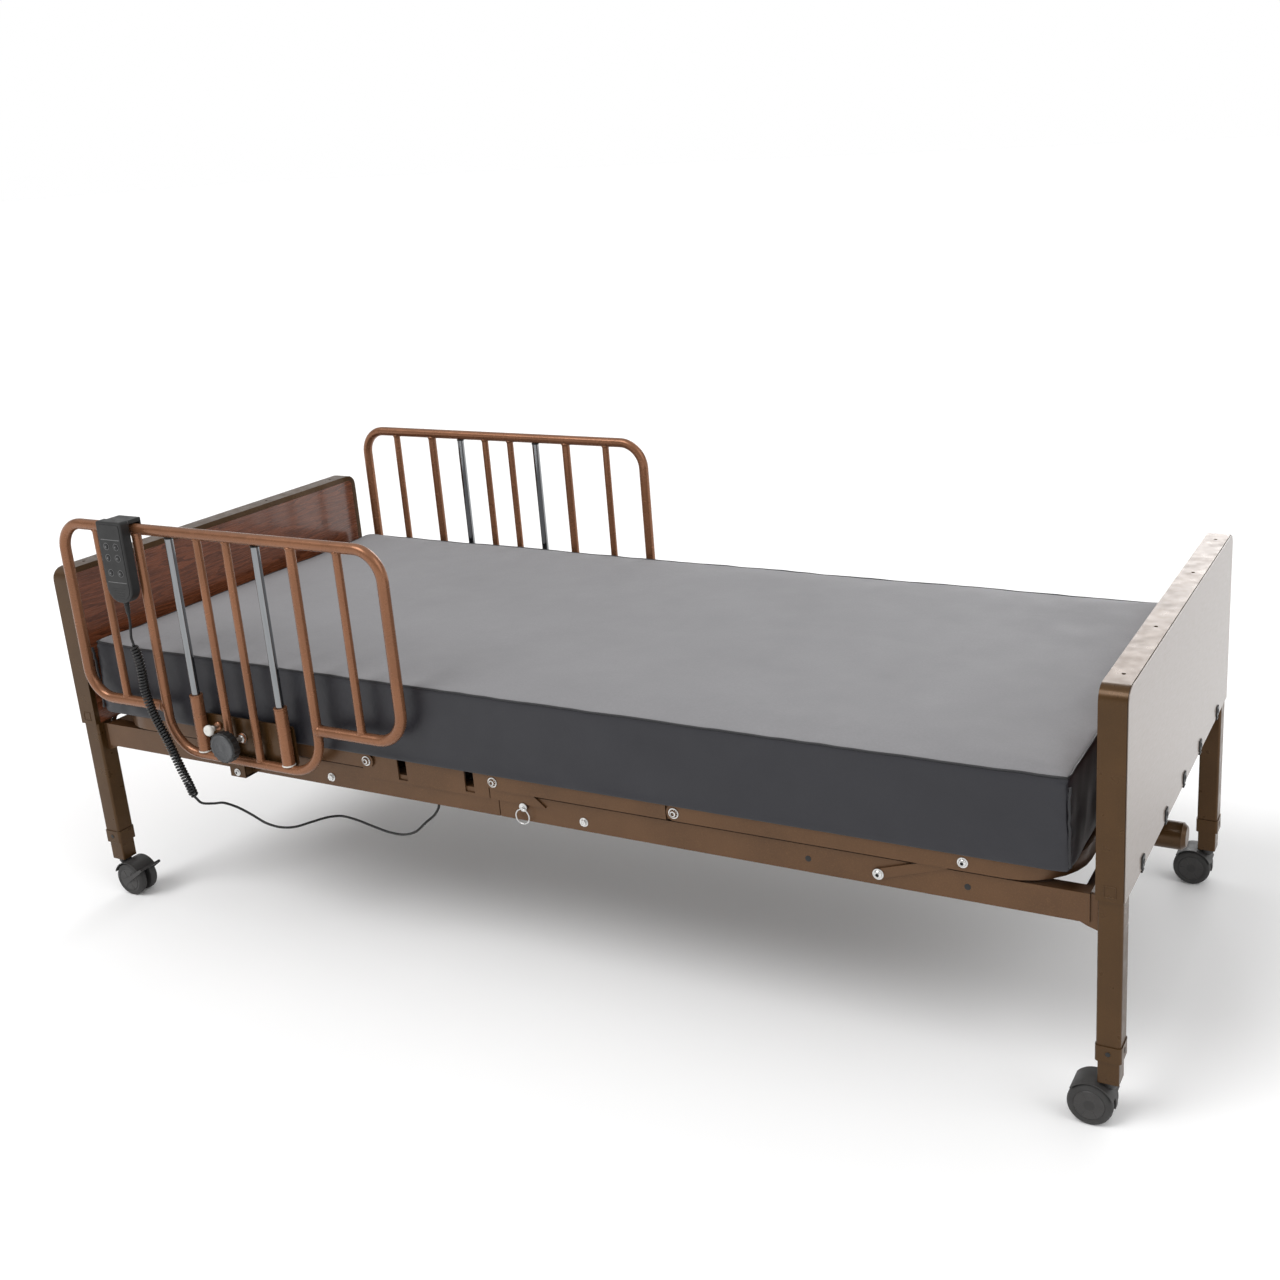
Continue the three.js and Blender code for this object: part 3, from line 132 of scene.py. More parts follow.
# ---------------------------------------------------------------- materials
class Nodes:
    """A material's node tree, with short calls for what the materials here use."""

    def __init__(self, name, roughness, metallic=0.0, **settings):
        self.material = bpy.data.materials.new(name)
        self.material.use_nodes = True
        self.tree = self.material.node_tree
        self.shader = self.tree.nodes["Principled BSDF"]
        self.shader.inputs["Roughness"].default_value = roughness
        self.shader.inputs["Metallic"].default_value = metallic
        for key, value in settings.items():
            self.shader.inputs[key.replace("_", " ")].default_value = value
        self.place = self.tree.nodes.new("ShaderNodeTexCoord").outputs["Object"]

    def add(self, kind, **settings):
        node = self.tree.nodes.new(kind)
        for key, value in settings.items():
            setattr(node, key, value)
        return node

    def join(self, source, target):
        self.tree.links.new(source, target)

    def stretched(self, scale):
        node = self.add("ShaderNodeMapping")
        node.inputs["Scale"].default_value = scale
        self.join(self.place, node.inputs["Vector"])
        return node.outputs["Vector"]

    def noise(self, scale, detail=3.0, rough=0.5, place=None, distortion=0.0):
        node = self.add("ShaderNodeTexNoise")
        node.inputs["Scale"].default_value = scale
        node.inputs["Detail"].default_value = detail
        node.inputs["Roughness"].default_value = rough
        node.inputs["Distortion"].default_value = distortion
        self.join(place or self.place, node.inputs["Vector"])
        return node.outputs["Fac"]

    def remap(self, value, low, high, to_low=0.0, to_high=1.0):
        node = self.add("ShaderNodeMapRange")
        for key, number in zip(("From Min", "From Max", "To Min", "To Max"), (low, high, to_low, to_high)):
            node.inputs[key].default_value = number
        self.join(value, node.inputs["Value"])
        return node.outputs["Result"]

    def math(self, operation, a, b=None):
        node = self.add("ShaderNodeMath", operation=operation)
        for socket, value in zip(node.inputs, (a, b)):
            if value is None:
                continue
            if isinstance(value, (int, float)):
                socket.default_value = value
            else:
                self.join(value, socket)
        return node.outputs[0]

    def mix(self, factor, a, b):
        """Between two colours; each is a colour or a socket."""
        node = self.add("ShaderNodeMix", data_type="RGBA")
        self.join(factor, node.inputs["Factor"])
        for key, value in (("A", a), ("B", b)):
            socket = next(s for s in node.inputs if s.name == key and s.type == "RGBA")
            if isinstance(value, tuple):
                socket.default_value = (*value, 1)
            else:
                self.join(value, socket)
        return next(s for s in node.outputs if s.type == "RGBA")

    def color(self, socket):
        self.join(socket, self.shader.inputs["Base Color"])

    def roughness(self, socket):
        self.join(socket, self.shader.inputs["Roughness"])

    def bump(self, heights):
        """heights: (socket, strength, distance in metres), laid over each other."""
        last = None
        for socket, strength, distance in heights:
            node = self.add("ShaderNodeBump")
            node.inputs["Strength"].default_value = strength
            node.inputs["Distance"].default_value = distance
            self.join(socket, node.inputs["Height"])
            if last is not None:
                self.join(last, node.inputs["Normal"])
            last = node.outputs["Normal"]
        self.join(last, self.shader.inputs["Normal"])


def shade(color, factor):
    return tuple(min(c * factor, 1) for c in color)


def powder_coat(name, color, metallic, roughness=0.42, scuff=0.25, fleck=0.4):
    """Metallic paint, sprayed and baked: a fine orange peel, flecks, faint mottling, a few rubbed spots."""
    m = Nodes(name, roughness, metallic, Specular_IOR_Level=0.3, Coat_Weight=0.12, Coat_Roughness=0.12)
    mottled = m.remap(m.noise(9, 4), 0.35, 0.65)
    body = m.mix(mottled, shade(color, 0.9), shade(color, 1.1))
    flecks = m.remap(m.noise(620, 2, 0.6), 0.52, 0.72, 0, fleck)
    flecked = m.mix(flecks, body, shade(color, 1.75))
    rubs = m.noise(55, 6, 0.7, m.stretched((1, 1, 1.6)))
    spots = m.math("MULTIPLY", m.remap(rubs, 0.64, 0.72), scuff)
    m.color(m.mix(spots, flecked, shade(color, 1.9)))
    m.roughness(m.remap(m.noise(40, 4), 0.3, 0.7, roughness - 0.06, roughness + 0.1))
    m.bump([(m.noise(900, 2), 0.08, 0.0001)])
    return m.material


def plated(name, color, roughness):
    """Bright plated steel with faint streaks."""
    m = Nodes(name, roughness, 1.0)
    streaks = m.noise(30, 5, 0.6, m.stretched((8, 8, 0.6)))
    m.color(m.mix(m.remap(streaks, 0.3, 0.7), shade(color, 0.86), color))
    m.roughness(m.remap(m.noise(160, 4), 0.3, 0.7, roughness * 0.7, roughness * 1.5))
    m.bump([(m.noise(700, 2), 0.03, 0.0002)])
    return m.material


def moulded(name, color, roughness=0.5, grain=0.15, scale=1600):
    """Moulded plastic with a spark-eroded grain and a little dust."""
    m = Nodes(name, roughness, Specular_IOR_Level=0.4)
    dust = m.remap(m.noise(25, 5, 0.65), 0.5, 0.8)
    m.color(m.mix(m.math("MULTIPLY", dust, 0.35), color, shade(tuple(c + 0.006 for c in color), 1.5)))
    m.roughness(m.remap(m.noise(60, 4), 0.3, 0.7, roughness - 0.07, roughness + 0.1))
    m.bump([(m.noise(scale, 2), grain, 0.0002)])
    return m.material


def wood_laminate(name, dark, light, roughness, contrast=1.0):
    """Printed wood grain under a melamine film; the grain runs across the bed."""
    m = Nodes(name, roughness, Coat_Weight=0.6, Coat_Roughness=0.12)
    along = m.stretched((1.0, 0.9, 14.0))
    cathedral = m.noise(2.6, 3, 0.5, along, 0.6)
    rings = m.math("FRACT", m.math("MULTIPLY", cathedral, 9.0))
    bands = m.remap(rings, 0.05, 0.95)
    fibres = m.noise(26, 6, 0.62, m.stretched((1.0, 1.3, 30.0)))
    pores = m.remap(m.noise(60, 2, 0.5, m.stretched((1.0, 1.0, 26.0))), 0.62, 0.7)
    blend = m.math("ADD", m.math("MULTIPLY", bands, 0.45 * contrast), m.math("MULTIPLY", fibres, 0.6))
    grain = m.mix(blend, dark, light)
    m.color(m.mix(m.math("MULTIPLY", pores, 0.5 * contrast), grain, shade(dark, 0.5)))
    m.roughness(m.remap(fibres, 0.3, 0.7, roughness - 0.05, roughness + 0.08))
    m.bump([(fibres, 0.05, 0.0002), (m.noise(18, 2), 0.03, 0.002)])
    return m.material


def coated_fabric(name, color, roughness, weave=0.25, mottle=0.07, gloss=0.4):
    """Polyurethane-coated knit: a fine diagonal weave, faint mottling and soft creases."""
    m = Nodes(name, roughness, Specular_IOR_Level=gloss, Sheen_Weight=0.05, Sheen_Roughness=0.4)
    mottled = m.remap(m.noise(5, 5, 0.6), 0.3, 0.7)
    fine = m.noise(240, 4, 0.6)
    body = m.mix(mottled, shade(color, 1 - mottle), shade(color, 1 + mottle))
    m.color(m.mix(m.remap(fine, 0.3, 0.7, 0, 0.5), body, shade(color, 0.85)))
    m.roughness(m.remap(m.noise(14, 4), 0.3, 0.7, roughness - 0.05, roughness + 0.07))
    wave_a = m.add("ShaderNodeTexWave", wave_type="BANDS", bands_direction="DIAGONAL")
    wave_b = m.add("ShaderNodeTexWave", wave_type="BANDS", bands_direction="DIAGONAL")
    wave_a.inputs["Scale"].default_value = 260
    wave_b.inputs["Scale"].default_value = 260
    m.join(m.place, wave_a.inputs["Vector"])
    m.join(m.stretched((-1, 1, 1)), wave_b.inputs["Vector"])
    knit = m.math("MULTIPLY", wave_a.outputs["Fac"], wave_b.outputs["Fac"])
    creases = m.noise(7, 6, 0.55, m.stretched((1, 1.4, 1)), 0.5)
    m.bump([(creases, 0.16, 0.006), (fine, 0.12, 0.0004), (knit, weave, 0.00025)])
    return m.material


BROWN = powder_coat("frame_brown", (0.066, 0.032, 0.0095), 0.45, 0.31)
DECK = powder_coat("deck_brown", (0.1, 0.05, 0.022), 0.4, 0.35, 0.35)
COPPER = powder_coat("rail_copper", (0.225, 0.098, 0.048), 0.5, 0.24, 0.0, 0.1)
WOOD = wood_laminate("wood_laminate", (0.028, 0.007, 0.003), (0.26, 0.083, 0.036), 0.24)
BEIGE = wood_laminate("foot_laminate", (0.18, 0.142, 0.118), (0.215, 0.172, 0.145), 0.4, 0.15)
# chrome's base colour is set dark to paint in the dark reflections of the room; the plating itself is
# brighter
CHROME_PAINTED_DARK = plated("chrome", (0.27, 0.28, 0.29), 0.08)
ZINC = plated("zinc", (0.7, 0.7, 0.69), 0.3)
BLACK = moulded("black_plastic", (0.009, 0.009, 0.009), 0.4)
KNOB_FACE = moulded("knob_face", (0.05, 0.052, 0.055), 0.3, 0.1)
BUTTON = moulded("button_rubber", (0.02, 0.02, 0.021), 0.5, 0.1)
MARKING = moulded("grey_marking", (0.16, 0.16, 0.16), 0.5, 0.1)
WHITE = moulded("white_nylon", (0.68, 0.67, 0.63), 0.4, 0.05)
CASTER = moulded("caster_plastic", (0.036, 0.034, 0.033), 0.45, 0.2, 1200)
TREAD = moulded("caster_tread", (0.028, 0.027, 0.026), 0.55, 0.3, 900)
CORD = moulded("cord_rubber", (0.006, 0.006, 0.006), 0.34, 0.05)
HOUSING = moulded("drive_housing", (0.2, 0.2, 0.205), 0.5, 0.25)
TOP_COVER = coated_fabric("cover_top", (0.238, 0.235, 0.243), 0.62, 0.25, 0.05, 0.15)
SIDE_COVER = coated_fabric("cover_side", (0.018, 0.018, 0.023), 0.42, 0.2, 0.1)
PIPING = coated_fabric("cover_piping", (0.016, 0.016, 0.018), 0.45, 0.3)


# ---------------------------------------------------------------- mesh helpers (millimetres)
@contextmanager
def edited(mesh):
    """The mesh as a bmesh, written back at the end."""
    shape = bmesh.new()
    shape.from_mesh(mesh)
    yield shape
    shape.to_mesh(mesh)
    shape.free()


def mesh_object(name, vertices, faces, material):
    mesh = bpy.data.meshes.new(name)
    mesh.from_pydata([tuple(c * MM for c in v) for v in vertices], [], faces)
    mesh.materials.append(material)
    mesh.validate()
    return linked(name, mesh)


def smooth(obj, degrees=35):
    mesh = obj.data
    mesh.polygons.foreach_set("use_smooth", [True] * len(mesh.polygons))
    mesh.set_sharp_from_angle(angle=math.radians(degrees))
    return obj


def apply_modifiers(obj):
    graph = bpy.context.evaluated_depsgraph_get()
    mesh = bpy.data.meshes.new_from_object(obj.evaluated_get(graph))
    old = obj.data
    obj.modifiers.clear()
    obj.data = mesh
    mesh.name = obj.name
    bpy.data.meshes.remove(old)
    return obj


def rounded_edges(obj, width, segments=2, degrees=30, clamp=True):
    bevel = obj.modifiers.new("bevel", "BEVEL")
    bevel.width = width * MM
    bevel.segments = segments
    bevel.limit_method = "ANGLE"
    bevel.angle_limit = math.radians(degrees)
    bevel.use_clamp_overlap = clamp
    bevel.miter_outer = "MITER_ARC"
    return smooth(apply_modifiers(obj))


def even_normals(obj):
    """Flat faces shade flat right up to their rounded edges."""
    weighted = obj.modifiers.new("normals", "WEIGHTED_NORMAL")
    weighted.mode = "FACE_AREA"
    weighted.weight = 50
    weighted.keep_sharp = True
    return apply_modifiers(obj)


def joined(name, objects):
    """One object from several, each keeping its material."""
    mesh = bpy.data.meshes.new(name)
    whole = bmesh.new()
    slots = []
    for obj in objects:
        offset = len(whole.faces)
        copy = obj.data.copy()
        copy.transform(obj.matrix_world)
        whole.from_mesh(copy)
        whole.faces.ensure_lookup_table()
        for face in whole.faces[offset:]:
            material = obj.data.materials[face.material_index]
            if material not in slots:
                slots.append(material)
            face.material_index = slots.index(material)
        bpy.data.meshes.remove(copy)
        bpy.data.objects.remove(obj)
    whole.to_mesh(mesh)
    whole.free()
    for material in slots:
        mesh.materials.append(material)
    return even_normals(linked(name, mesh))


def corner_arc(before, here, after, radius):
    """The centre of a rounded corner, and the arms from it to the arc's two ends."""
    to_last = (Vector(before) - here).normalized()
    to_next = (Vector(after) - here).normalized()
    half = to_last.angle(to_next) / 2
    centre = here + (to_last + to_next).normalized() * radius / math.sin(half)
    start = here + to_last * radius / math.tan(half) - centre
    stop = here + to_next * radius / math.tan(half) - centre
    return centre, start, stop


def round_outline(rows, steps=5):
    """A closed outline from (a, b, corner radius) rows."""
    points = []
    count = len(rows)
    for i, row in enumerate(rows):
        here = Vector(row[:2])
        radius = row[2] if len(row) > 2 else 0
        if not radius:
            points.append(here)
            continue
        centre, start, stop = corner_arc(rows[i - 1][:2], here, rows[(i + 1) % count][:2], radius)
        turn = start.angle_signed(stop)
        for k in range(steps + 1):
            angle = -turn * k / steps
            c, s = math.cos(angle), math.sin(angle)
            points.append(centre + Vector((start.x * c - start.y * s, start.x * s + start.y * c)))
    return points


AXES = {
    "x": lambda a, b, t: (t, a, b),
    "y": lambda a, b, t: (a, t, b),
    "z": lambda a, b, t: (a, b, t),
}


def prism(name, outline, axis, low, high, material, edge=0.0, segments=2):
    """An outline pushed along an axis; edge rounds its rims."""
    place = AXES[axis]
    count = len(outline)
    vertices = [place(p[0], p[1], t) for t in (low, high) for p in outline]
    faces = [tuple(range(count)), tuple(range(2 * count - 1, count - 1, -1))]
    faces += [(i, i + count, (i + 1) % count + count, (i + 1) % count) for i in range(count)]
    obj = mesh_object(name, vertices, faces, material)
    with edited(obj.data) as shape:
        bmesh.ops.recalc_face_normals(shape, faces=shape.faces)
    return rounded_edges(obj, edge, segments) if edge else smooth(obj)


def slab(name, low, high, material, edge=1.0, segments=2):
    outline = [(low[0], low[1]), (high[0], low[1]), (high[0], high[1]), (low[0], high[1])]
    return prism(name, outline, "z", low[2], high[2], material, edge, segments)


def bend(corners, steps=8):
    """A line through corners, each (place, radius), with arcs at the corners."""
    points = []
    for i, (place, radius) in enumerate(corners):
        here = Vector(place)
        if not radius or i in (0, len(corners) - 1):
            points.append(here)
            continue
        centre, start, stop = corner_arc(corners[i - 1][0], here, corners[i + 1][0], radius)
        axis = start.cross(stop).normalized()
        turn = start.angle(stop)
        for k in range(steps + 1):
            points.append(centre + Matrix.Rotation(turn * k / steps, 3, axis) @ start)
    return points


def circle(centre, side, other, radius, count):
    for k in range(count):
        angle = 2 * math.pi * k / count
        yield centre + (side * math.cos(angle) + other * math.sin(angle)) * radius


def sweep(name, points, radius, material, sides=20, caps=True):
    """A round tube along a line of points; radius is a number or one for each point."""
    count = len(points)
    radii = [radius] * count if isinstance(radius, (int, float)) else list(radius)
    along = [
        (points[min(i + 1, count - 1)] - points[max(i - 1, 0)]).normalized() for i in range(count)
    ]
    side = along[0].orthogonal().normalized()
    vertices = []
    for i, point in enumerate(points):
        if i:
            side = (along[i - 1].rotation_difference(along[i]) @ side).normalized()
        other = along[i].cross(side)
        vertices += circle(point, side, other, radii[i], sides)
    faces = [
        (i * sides + k, i * sides + (k + 1) % sides, (i + 1) * sides + (k + 1) % sides, (i + 1) * sides + k)
        for i in range(count - 1)
        for k in range(sides)
    ]
    if caps:
        faces += [tuple(range(sides - 1, -1, -1)), tuple((count - 1) * sides + k for k in range(sides))]
    return smooth(mesh_object(name, vertices, faces, material), 45)


def rod(name, start, stop, radius, material, sides=24, edge=0.6):
    """A round bar with slightly rounded ends."""
    start, stop = Vector(start), Vector(stop)
    along = (stop - start).normalized()
    edge = min(edge, radius * 0.5)
    points = [start, start + along * edge, stop - along * edge, stop]
    return sweep(name, points, [radius - edge, radius, radius, radius - edge], material, sides)


def lathe(name, profile, centre, axis, material, sides=40, degrees=35):
    """A turned piece: (radius, distance along the axis) rows from one end of the axis to the other."""
    axis = Vector(axis).normalized()
    side = axis.orthogonal().normalized()
    other = axis.cross(side)
    centre = Vector(centre)
    vertices, rings = [], []
    for radius, distance in profile:
        middle = centre + axis * distance
        if radius < 1e-6:
            rings.append([len(vertices)])
            vertices.append(middle)
            continue
        rings.append(list(range(len(vertices), len(vertices) + sides)))
        vertices += circle(middle, side, other, radius, sides)
    faces = []
    for a, b in zip(rings, rings[1:]):
        for k in range(sides):
            quad = (a[k % len(a)], a[(k + 1) % len(a)], b[(k + 1) % len(b)], b[k % len(b)])
            face = tuple(dict.fromkeys(quad))
            if len(face) > 2:
                faces.append(face)
    obj = mesh_object(name, vertices, faces, material)
    with edited(obj.data) as shape:
        bmesh.ops.recalc_face_normals(shape, faces=shape.faces)
    return smooth(obj, degrees)


def ring(name, centre, axis, major, minor, material, sides=32, tube_sides=10):
    profile = [
        (
            major + minor * math.cos(2 * math.pi * k / tube_sides),
            minor * math.sin(2 * math.pi * k / tube_sides),
        )
        for k in range(tube_sides + 1)
    ]
    obj = lathe(name, profile, centre, axis, material, sides, 60)
    with edited(obj.data) as shape:
        bmesh.ops.remove_doubles(shape, verts=shape.verts, dist=1e-6)
        bmesh.ops.recalc_face_normals(shape, faces=shape.faces)
    return smooth(obj, 60)


def finished(node, material, slot, width=0.7, more=()):
    """A CAD node's own shape with rounded edges, plus any small pieces fixed to it."""
    source = frame["nodes"][node]
    mesh = source.data.copy()
    mesh.materials.clear()
    mesh.materials.append(material)
    obj = linked(node + "_finished", mesh)
    with edited(mesh) as shape:
        bmesh.ops.remove_doubles(shape, verts=shape.verts, dist=0.005 * MM)
        bmesh.ops.dissolve_limit(
            shape, angle_limit=math.radians(1), verts=shape.verts, edges=shape.edges, delimit=set()
        )
    rounded_edges(obj, width, 2, 35)
    obj = joined(node + "_finished", [obj, *more]) if more else even_normals(obj)
    return worn_by(obj, node, slot)


def worn_by(obj, node, slot, *others):
    """obj stands for the CAD node and rides on its body."""
    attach(obj, BODY_OF[node])
    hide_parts(node, *others)
    return obj


def on_body(obj, body):
    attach(obj, body)
    return obj


def bolt(name, x, z, y, side, radius=6.5, height=4.0, material=ZINC, hexagon=False):
    """A bolt head on a face at distance y from the middle, on side -1 or 1."""
    at = (x, side * y, z)
    axis = (0, side, 0)
    washer = lathe(
        name + "_washer",
        [(0, 0), (radius + 2.2, 0), (radius + 2.4, 0.5), (radius + 2.2, 1.1), (radius, 1.2), (0, 1.2)],
        at, axis, material, 28,
    )
    if hexagon:
        rows = [(radius * math.cos(math.pi * k / 3), radius * math.sin(math.pi * k / 3)) for k in range(6)]
        outline = [(x + a, z + b) for a, b in rows]
        low, high = sorted((side * (y + 1.1), side * (y + 1.1 + height)))
        head = prism(name + "_head", outline, "y", low, high, material, 0.5)
    else:
        dome = [
            (radius * math.cos(math.radians(a)), 1.1 + height * math.sin(math.radians(a)))
            for a in range(0, 70, 13)
        ]
        head = lathe(name + "_head", [(0, 0.6), (radius, 0.6), *dome], at, axis, material, 28, 50)
    # the hex socket is a shallow black cone: painted shade for the dark inside of the recess
    shade_cone_top = 1.1 + height * (1.0 if hexagon else 0.92)
    socket = lathe(
        name + "_shade_cone",
        [
            (radius * 0.46, shade_cone_top), (radius * 0.42, shade_cone_top + 0.15),
            (radius * 0.38, shade_cone_top - 1.6), (0, shade_cone_top - 1.9),
        ],
        at, axis, BLACK, 6, 20,
    )
    return joined(name, [washer, head, socket])


# ---------------------------------------------------------------- the handset's lead
LEAD_Y = -494
WIRE = 5.2
CURL_TURNS = 54
CURL_RADIUS = 6.8
UPPER_LEAD = [
    (-850, LEAD_Y, 691.7), (-850, LEAD_Y, 676), (-853, LEAD_Y, 656), (-855, LEAD_Y, 642), (-852, LEAD_Y, 628),
]
CURLY_LEAD = [
    (-852, LEAD_Y, 627.6), (-846, LEAD_Y, 604), (-843, LEAD_Y, 575), (-843, LEAD_Y, 528),
    (-831, LEAD_Y, 481), (-807, LEAD_Y, 431), (-784, -492, 368), (-773, -489, 334), (-768, -484, 302),
]
LOWER_LEAD = [
    (-767.4, -482.6, 300), (-765, -474, 286), (-769, -440, 268), (-774, -408, 254), (-756, -392, 240),
    (-721, -388, 226), (-684, -388, 213), (-645, -386, 209), (-618, -374, 209), (-597, -346, 211),
    (-575, -322, 214), (-549, -313, 217), (-498, -326, 224), (-429, -350, 231), (-361, -375, 240),
    (-311, -389, 251), (-279, -392, 265), (-257, -388, 285), (-238, -381, 302), (-228, -378, 318),
    (-226, -378, 326), (-226, -378, 333.7),
]


def smooth_line(points, step=2.5):
    """A centripetal Catmull-Rom curve through the points, cut into short even steps."""
    points = [Vector(p) for p in points]
    padded = [2 * points[0] - points[1], *points, 2 * points[-1] - points[-2]]
    line = []
    for p0, p1, p2, p3 in zip(padded, padded[1:], padded[2:], padded[3:]):
        t0 = 0.0
        t1 = t0 + (p1 - p0).length ** 0.5
        t2 = t1 + (p2 - p1).length ** 0.5
        t3 = t2 + (p3 - p2).length ** 0.5
        pieces = max(2, round((p2 - p1).length / step))
        for k in range(pieces):
            t = t1 + (t2 - t1) * k / pieces
            a1 = p0 * ((t1 - t) / (t1 - t0)) + p1 * ((t - t0) / (t1 - t0))
            a2 = p1 * ((t2 - t) / (t2 - t1)) + p2 * ((t - t1) / (t2 - t1))
            a3 = p2 * ((t3 - t) / (t3 - t2)) + p3 * ((t - t2) / (t3 - t2))
            b1 = a1 * ((t2 - t) / (t2 - t0)) + a2 * ((t - t0) / (t2 - t0))
            b2 = a2 * ((t3 - t) / (t3 - t1)) + a3 * ((t - t1) / (t3 - t1))
            line.append(b1 * ((t2 - t) / (t2 - t1)) + b2 * ((t - t1) / (t2 - t1)))
    line.append(points[-1])
    return line


def line_length(line):
    return sum((b - a).length for a, b in zip(line, line[1:]))


def at_distance(line, distances):
    """Places along a line at the given distances."""
    steps = np.array([0.0, *np.cumsum([(b - a).length for a, b in zip(line, line[1:])])])
    places = np.array([tuple(p) for p in line])
    found = np.stack([np.interp(distances, steps, places[:, k]) for k in range(3)], 1)
    return [Vector(p) for p in found]


def curled(line, turns, radius, per_turn=14):
    """A helix round a line, which starts and ends on the line."""
    total = line_length(line)
    count = turns * per_turn
    middles = at_distance(line, np.linspace(0, total, count + 1))
    side = Vector((1, 0, 0))
    points = []
    for i, middle in enumerate(middles):
        ahead = middles[min(i + 1, count)] - middles[max(i - 1, 0)]
        along = ahead.normalized()
        side = (side - along * side.dot(along)).normalized()
        other = along.cross(side)
        angle = 2 * math.pi * i / per_turn
        swell = min(1.0, i / (1.2 * per_turn), (count - i) / (1.2 * per_turn))
        swell = swell * swell * (3 - 2 * swell)
        points.append(middle + (side * math.cos(angle) + other * math.sin(angle)) * radius * swell)
    return points


def make_lead():
    upper = smooth_line(UPPER_LEAD)
    coil = curled(smooth_line(CURLY_LEAD), CURL_TURNS, CURL_RADIUS)
    lower = smooth_line(LOWER_LEAD)
    path = [upper[0]]
    for point in upper[1:-1] + coil[1:-1] + lower[1:]:
        if (point - path[-1]).length > 1.0:
            path.append(point)
    lead = sweep("handset_lead", path, WIRE / 2, CORD, 10)
    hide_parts("handset_lead_upper", "handset_lead_curly", "handset_lead_lower")
    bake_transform(lead)


make_lead()


# ---------------------------------------------------------------- side rails
def weld_bead(name, centre, axis, radius, material):
    profile = [
        (radius - 1, -2.6), (radius + 0.5, -2.4), (radius + 1.7, 0), (radius + 0.4, 3.4), (radius - 1, 4),
    ]
    return lathe(name, [(0, -2.6), *profile, (0, 4)], centre, axis, material, 24, 60)


def side_rail(name, side):
    """Loop, inner U, spindles and their welds, as one welded piece."""
    facing = -side  # the far rail is the near one turned round
    y = side * RAIL_Y

    def at(x, z):
        return Vector((RAIL_X + facing * x, y, z))

    loop = bend([
        (at(-RAIL_U_HALF, RAIL_STUB_Z), 0), (at(-RAIL_HALF, RAIL_STUB_Z), 60),
        (at(-RAIL_HALF, RAIL_TOP), 58), (at(RAIL_HALF, RAIL_TOP), 58),
        (at(RAIL_HALF, RAIL_STUB_Z), 60), (at(RAIL_U_HALF, RAIL_STUB_Z), 0),
    ], 12)
    inner = bend([
        (at(-RAIL_U_HALF, RAIL_TOP), 0), (at(-RAIL_U_HALF, RAIL_LOW_Z), 75),
        (at(RAIL_U_HALF, RAIL_LOW_Z), 75), (at(RAIL_U_HALF, RAIL_TOP), 0),
    ], 14)
    pieces = [
        sweep(name + "_loop", loop, RAIL_TUBE, COPPER, 24),
        sweep(name + "_u", inner, RAIL_U_TUBE, COPPER, 22),
    ]
    for x in (-309, -37, 37, 309):
        bottom = RAIL_LOW_Z if abs(x) < RAIL_U_HALF else RAIL_STUB_Z
        pieces.append(sweep(f"{name}_bar{x}", [at(x, bottom), at(x, RAIL_TOP)], 8, COPPER, 18))
        tube = RAIL_U_TUBE if abs(x) < RAIL_U_HALF else RAIL_TUBE
        pieces.append(weld_bead(f"{name}_low{x}", at(x, bottom + tube - 1.5), (0, 0, 1), 8, COPPER))
        pieces.append(weld_bead(f"{name}_high{x}", at(x, RAIL_TOP - RAIL_TUBE + 1.5), (0, 0, -1), 8, COPPER))
    for x in (-RAIL_U_HALF, RAIL_U_HALF):
        pieces.append(
            weld_bead(f"{name}_top{x}", at(x, RAIL_TOP - RAIL_TUBE + 1.5), (0, 0, -1), RAIL_U_TUBE, COPPER),
        )
        out = Vector((facing * math.copysign(1, x), 0, 0))
        pieces.append(
            weld_bead(
                f"{name}_stub{x}", at(x, RAIL_STUB_Z) + out * (RAIL_U_TUBE - 1.5), out, RAIL_TUBE, COPPER,
            ),
        )
    worn_by(joined(name, pieces), name + "_frame", "rail_copper")

    for end in ("head", "foot"):
        node = f"{name}_post_{end}"
        low, high = node_box(node)
        x = (low.x + high.x) / 2
        post = rod(node + "_chrome", (x, y, low.z + 1), (x, y, high.z - 1), 8, CHROME_PAINTED_DARK, 36, 0.8)
        cap_low = lathe(
            node + "_cap_low", [(0, 0), (9, 0), (9.3, 0.6), (9.3, 3.4), (8.2, 4), (0, 4)], (x, y, low.z),
            (0, 0, 1), WHITE, 30,
        )
        cap_high = lathe(
            node + "_cap_high", [(0, 0), (8.6, 0), (8.9, 0.5), (8.9, 2.2), (8.2, 2.6), (0, 2.6)],
            (x, y, high.z), (0, 0, -1), BLACK, 30,
        )
        worn_by(joined(node + "_polished", [post, cap_low, cap_high]), node, "chrome")


